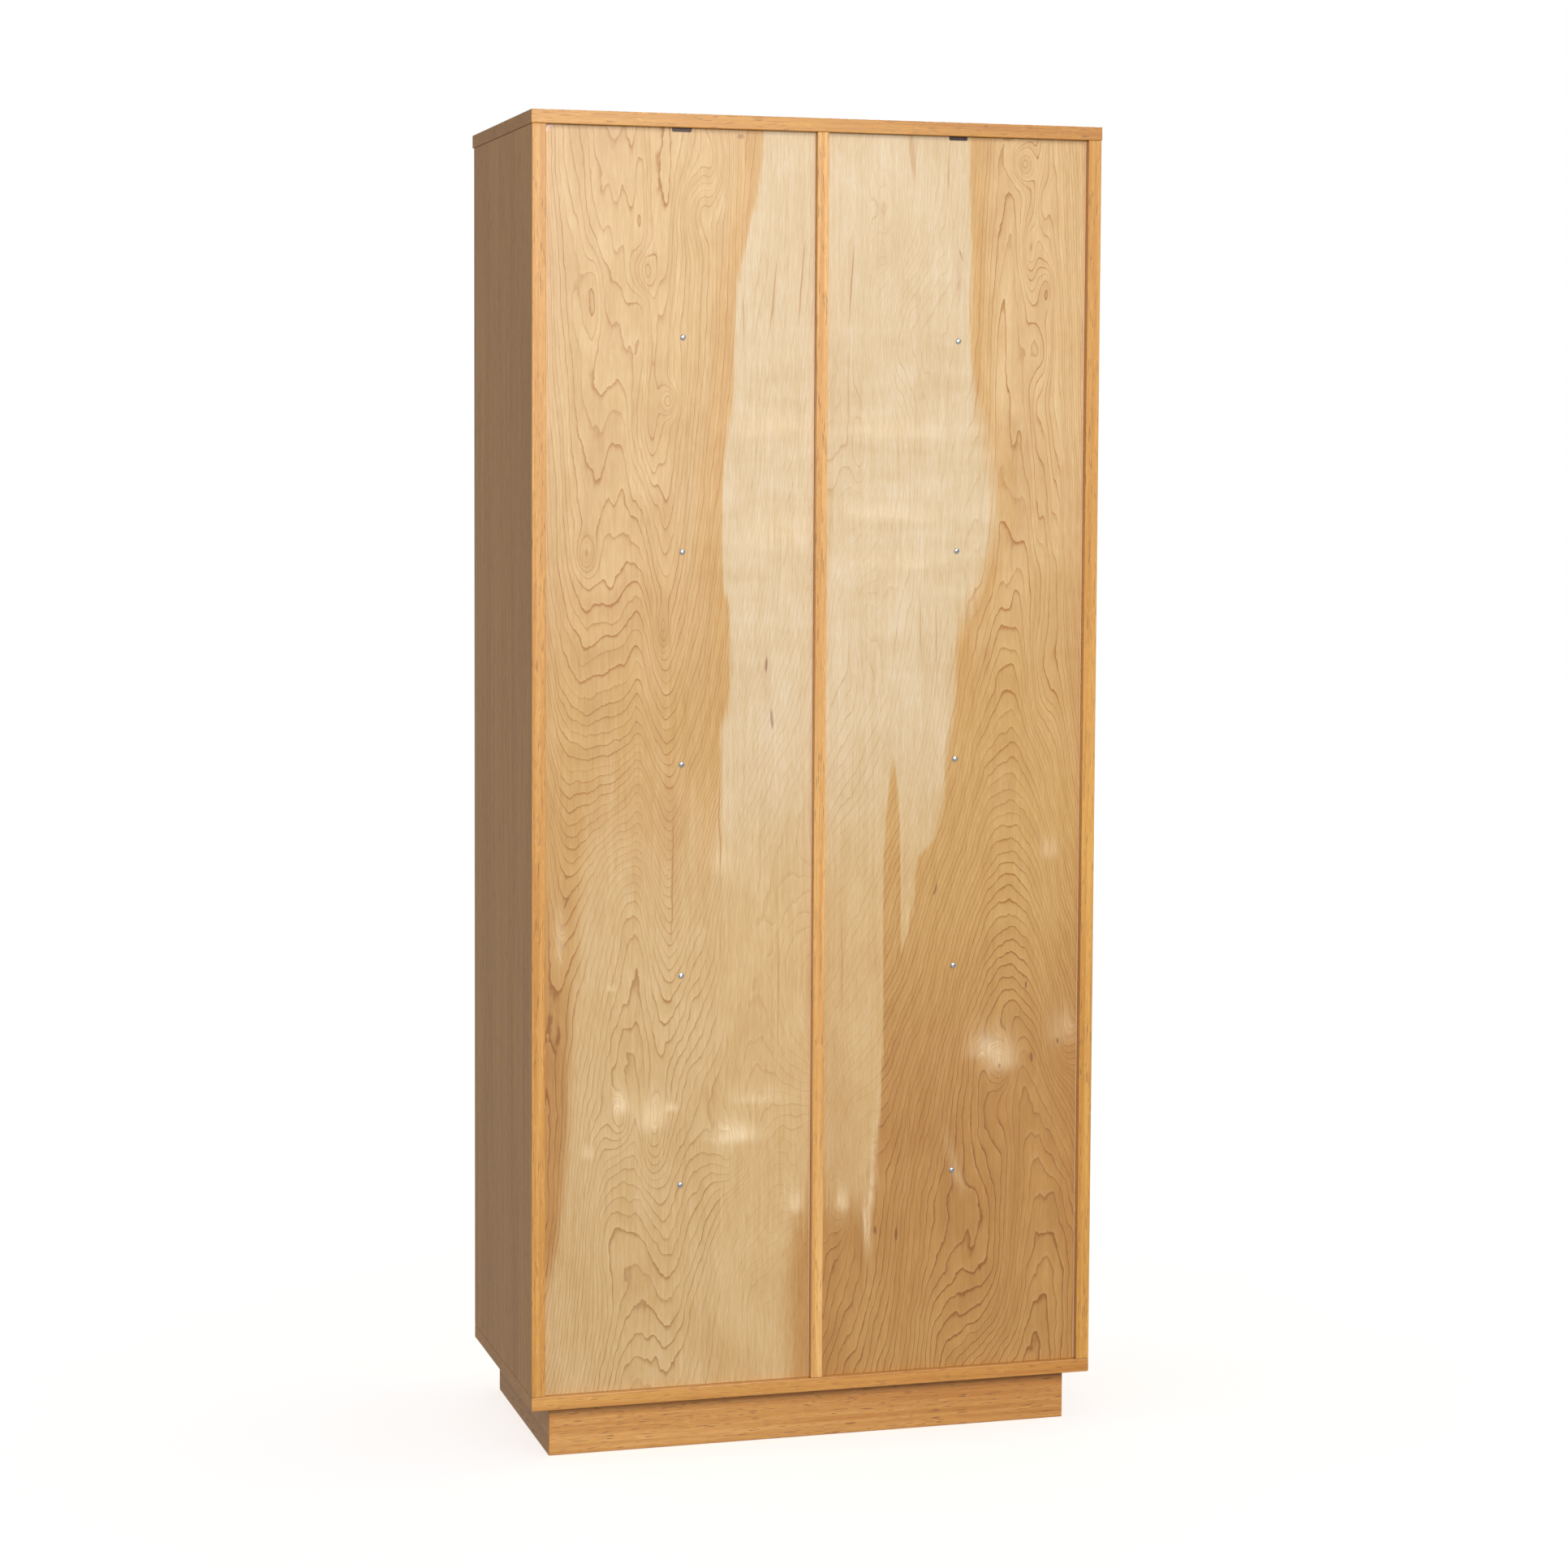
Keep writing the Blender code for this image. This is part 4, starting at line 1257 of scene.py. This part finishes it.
@dataclass
class Doors:
    """The two oak doors with their turned knobs."""

    bronze: bpy.types.Material
    steps: int = 64
    collar: float = 0.0022
    ease: float = 0.0003
    stud_radius: float = 0.0025
    stud_length: float = 0.0120

    def knob(self, radius: float, reach: float) -> bpy.types.Mesh:
        """A turned knob that points up +Z: a collar, a waist that flares, and a crowned head.

        Args:
            radius: the head's radius.
            reach: how far it stands off the door.

        Returns:
            The knob's mesh.
        """
        ease, collar, stud = self.ease, self.collar, self.stud_radius
        foot, waist = radius * 0.62, radius * 0.38
        rim = reach * 0.77
        neck = collar + 0.0012
        flares, crowns = 14, 12
        profile = [(0.0, -self.stud_length), (stud, -self.stud_length), (stud, ease), (foot - ease, ease)]
        profile += [(foot, ease * 2.0), (foot, collar - ease), (foot - ease, collar)]
        profile.append((waist + 0.0012, collar + 0.0004))
        for step in range(flares + 1):
            share = step / flares
            profile.append((waist + (radius * 0.97 - waist) * share**2.6, neck + (rim - neck) * share))
        profile.append((radius * 0.995, rim - 0.0004))
        for step in range(crowns):
            angle = TURN / 4.0 * step / crowns
            profile.append((radius * math.cos(angle), rim + (reach - rim) * math.sin(angle)))
        profile.append((0.0, reach))
        return Shape().turned(profile, self.steps).data("knob")

    def build(self) -> None:
        """Dress the doors and put a knob on each."""
        for bay in BAYS:
            seed = 23.0 if bay == "left" else 29.0
            dress([f"door_{bay}"], OakVeneer(f"oak_door_{bay}", Grain.UPRIGHT, seed, ring=0.0050).material())
            low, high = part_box(f"knob_{bay}")
            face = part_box(f"door_{bay}")[0].y
            middle = (low + high) / 2.0
            mesh = self.knob((high.x - low.x) / 2.0, face - low.y)
            mesh.transform(facing((middle.x, face, middle.z), (0.0, -1.0, 0.0)))
            node, body = f"knob_{bay}", f"{bay}_door"
            add_piece(f"turned_{node}", mesh, self.bronze, body, 40.0, node)


@dataclass
class Catches:
    """Magnetic catches under the top, their strike plates, and the clips that hold the backs."""

    screws: Screws
    plastic: bpy.types.Material
    pole_proud: float = 0.00012
    pole_inset: float = 0.0040
    pole_depth: float = 0.0020
    pole_height: float = 0.0016
    pole_gap: float = 0.0050
    screw_span: float = 0.0150
    screw_crown: float = 0.0010
    strike_crown: float = 0.0002
    strike_ease: float = 0.0003
    strike_screw_span: float = 0.0125
    clip_leg: float = 0.0020
    clip_screw_place: float = 0.0110

    def build(self) -> None:
        """Dress the catches and add their poles and screws."""
        head = self.screws.raised_head(self.screw_crown)
        flush = self.screws.raised_head(self.strike_crown)
        for bay in BAYS:
            dress([f"catch_{bay}"], self.plastic)
            dress([f"panel_clip_{bay}"], self.screws.bronze)
            low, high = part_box(f"catch_{bay}")
            middle = (low + high) / 2.0
            poles = Shape()
            for side in (-1.0, 1.0):
                z = middle.z + side * self.pole_gap / 2.0
                poles.box(
                    (low.x + self.pole_inset, low.y - self.pole_proud, z - self.pole_height / 2.0),
                    (high.x - self.pole_inset, low.y + self.pole_depth, z + self.pole_height / 2.0),
                    ease=0.00005,
                    segments=1,
                )
            add_piece(f"catch_poles_{bay}", poles.data("poles"), self.screws.zinc, CASE)
            below = [
                facing((middle.x + side * self.screw_span, middle.y, low.z), (0.0, 0.0, -1.0))
                for side in (-1, 1)
            ]
            self.screws.group(f"catch_screws_{bay}", head, below, self.screws.zinc, CASE)
            self.strike(bay, flush)
            self.clip_screw(bay, head)

    def strike(self, bay: str, flush: bpy.types.Mesh) -> None:
        """Make a strike plate with countersunk holes, and the two flush screws that hold it."""
        node = f"strike_plate_{bay}"
        low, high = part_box(node)
        middle = (low + high) / 2.0
        plate = Shape().box(low, high, self.strike_ease).data("plate")
        face = high.y - self.strike_crown
        seats = [
            facing((middle.x + side * self.strike_screw_span, face, middle.z), (0.0, 1.0, 0.0))
            for side in (-1, 1)
        ]
        mouth = self.screws.small_radius + 0.0010
        cone = [(0.0, 0.0010), (mouth, 0.0010), (0.0010, -0.0030), (0.0, -0.0030)]
        steps = self.screws.small_steps
        sinks = [Shape().turned(cone, steps).placed(seat).data("sink") for seat in seats]
        mesh = carved(plate, sinks)
        add_piece(f"strike_{bay}", mesh, self.screws.zinc, f"{bay}_door", 30.0, node)
        self.screws.group(f"strike_screws_{bay}", flush, seats, self.screws.zinc, f"{bay}_door")

    def clip_screw(self, bay: str, head: bpy.types.Mesh) -> None:
        """Screw the clip's hidden leg up into the top."""
        low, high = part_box(f"panel_clip_{bay}")
        place = ((low.x + high.x) / 2.0, low.y + self.clip_screw_place, high.z - self.clip_leg)
        seat = facing(place, (0.0, 0.0, -1.0))
        self.screws.group(f"clip_screw_{bay}", head, [seat], self.screws.bronze, CASE)


@dataclass
class Studio:
    """Pale floor, soft lights and the camera behind the cabinet.

    camera_turn is in degrees, and drop is the lens's vertical shift.
    """

    camera_place: Point = (1.4102, 4.9695, 1.4485)
    camera_turn: Point = (86.266, -0.292, 164.065)
    lens: float = 78.738
    drop: float = -0.0696
    floor_radius: float = 14.0
    floor_drop: float = 0.0004
    floor_glow: float = 0.70
    floor_shades: tuple[Colour, Colour] = ((0.90, 0.90, 0.90), (0.93, 0.93, 0.93))
    ambient: float = 0.35

    def floor(self) -> bpy.types.Object:
        """A wide pale floor that lights nothing itself."""
        mesh = bmesh.new()
        bmesh.ops.create_circle(mesh, cap_ends=True, segments=96, radius=self.floor_radius)
        data = bpy.data.meshes.new("floor")
        mesh.to_mesh(data)
        mesh.free()
        sheet = Sheet("pale_floor")
        mottle = sheet.noise((3.0, 3.0, 3.0), 3.0, 0.5)
        colour = sheet.mix(mottle * 0.2 + 0.5, *self.floor_shades)
        sheet.surface.inputs["Emission Color"].default_value = (1.0, 1.0, 1.0, 1.0)
        sheet.surface.inputs["Emission Strength"].default_value = self.floor_glow
        data.materials.append(sheet.finish(colour, 0.9, specular_ior_level=0.0))
        stage = bpy.data.objects.new("floor", data)
        stage.location.z = -self.floor_drop
        bpy.context.scene.collection.objects.link(stage)
        stage.visible_diffuse = False
        stage.visible_glossy = False
        return stage

    def world(self) -> None:
        """White surroundings for the eye, and a weaker even light on the cabinet."""
        world = bpy.data.worlds.new("studio")
        bpy.context.scene.world = world
        world.use_nodes = True
        tree = world.node_tree
        tree.nodes.clear()
        path = tree.nodes.new("ShaderNodeLightPath")
        even = tree.nodes.new("ShaderNodeBackground")
        seen = tree.nodes.new("ShaderNodeBackground")
        blend = tree.nodes.new("ShaderNodeMixShader")
        output = tree.nodes.new("ShaderNodeOutputWorld")
        even.inputs["Strength"].default_value = self.ambient
        even.inputs["Color"].default_value = (1.0, 1.0, 1.0, 1.0)
        seen.inputs["Color"].default_value = (1.0, 1.0, 1.0, 1.0)
        tree.links.new(path.outputs["Is Camera Ray"], blend.inputs[0])
        tree.links.new(even.outputs[0], blend.inputs[1])
        tree.links.new(seen.outputs[0], blend.inputs[2])
        tree.links.new(blend.outputs[0], output.inputs[0])

    def lamp(self, name: str, kind: str, place: Point, target: Point, power: float) -> bpy.types.Object:
        """Add a light that points at a target.

        Args:
            name: the light's name.
            kind: Blender's light type.
            place: where it stands.
            target: what it points at.
            power: watts, or watts per square metre for a sun.

        Returns:
            The light's object.
        """
        data = bpy.data.lights.new(name, kind)
        data.energy = power
        lamp = bpy.data.objects.new(name, data)
        bpy.context.scene.collection.objects.link(lamp)
        lamp.location = place
        lamp.rotation_euler = (Vector(place) - Vector(target)).to_track_quat("Z", "Y").to_euler()
        return lamp

    def lights(self, stage: bpy.types.Object) -> None:
        """Set up the lights.

        A broad key comes from behind, a soft box gives the lacquer its sheen, and fills light the front and
        one side. None of them lights the floor.

        Args:
            stage: the floor.
        """
        middle = (0.0, 0.2, 1.3)
        key = self.lamp("key", "SUN", (-1.2, 4.6, 3.9), middle, 0.95)
        key.data.angle = math.radians(18.0)
        sheen = self.lamp("sheen", "AREA", (0.25, 5.1, 2.60), middle, 150.0)
        sheen.data.shape = "RECTANGLE"
        sheen.data.size = 1.4
        sheen.data.size_y = 1.8
        fill = self.lamp("fill", "SUN", (-1.6, -4.0, 3.2), middle, 2.0)
        fill.data.angle = math.radians(25.0)
        side = self.lamp("side", "SUN", (4.5, 1.2, 2.6), middle, 0.17)
        side.data.angle = math.radians(25.0)
        spared = bpy.data.collections.new("spared_floor")
        spared.objects.link(stage)
        spared.collection_objects[0].light_linking.link_state = "EXCLUDE"
        for lamp in (key, sheen, fill, side):
            lamp.light_linking.receiver_collection = spared

    def camera(self) -> None:
        """Stand the camera behind the cabinet, a little above its middle."""
        data = bpy.data.cameras.new("camera")
        data.lens = self.lens
        data.sensor_width = 36.0
        data.shift_y = self.drop
        data.clip_end = 100.0
        data.dof.use_dof = False
        camera = bpy.data.objects.new("camera", data)
        bpy.context.scene.collection.objects.link(camera)
        camera.location = self.camera_place
        camera.rotation_euler = [math.radians(angle) for angle in self.camera_turn]
        bpy.context.scene.camera = camera

    def build(self) -> None:
        """Set up all of it."""
        scene = bpy.context.scene
        scene.view_settings.view_transform = "Standard"
        stage = self.floor()
        self.world()
        self.lights(stage)
        self.camera()
        logger.info("studio ready")


def main() -> None:
    """Build the cabinet's looks, piece by piece."""
    logging.basicConfig(level=logging.INFO, format="%(name)s: %(message)s")
    Studio().build()
    zinc = Metal("bright_zinc", (0.72, 0.76, 0.80), (0.92, 0.94, 0.95), 0.22).material()
    bronze = Metal("dark_bronze", (0.060, 0.045, 0.042), (0.22, 0.16, 0.14), 0.42, 0.85).material()
    plastic = MouldedPlastic("catch_plastic", (0.16, 0.10, 0.065)).material()
    screws = Screws(zinc, bronze)
    CaseBoards().build()
    Backs().build()
    screws.build()
    Doors(bronze).build()
    Hinges(screws).build()
    Catches(screws, plastic).build()


if __name__ == "__main__":
    main()
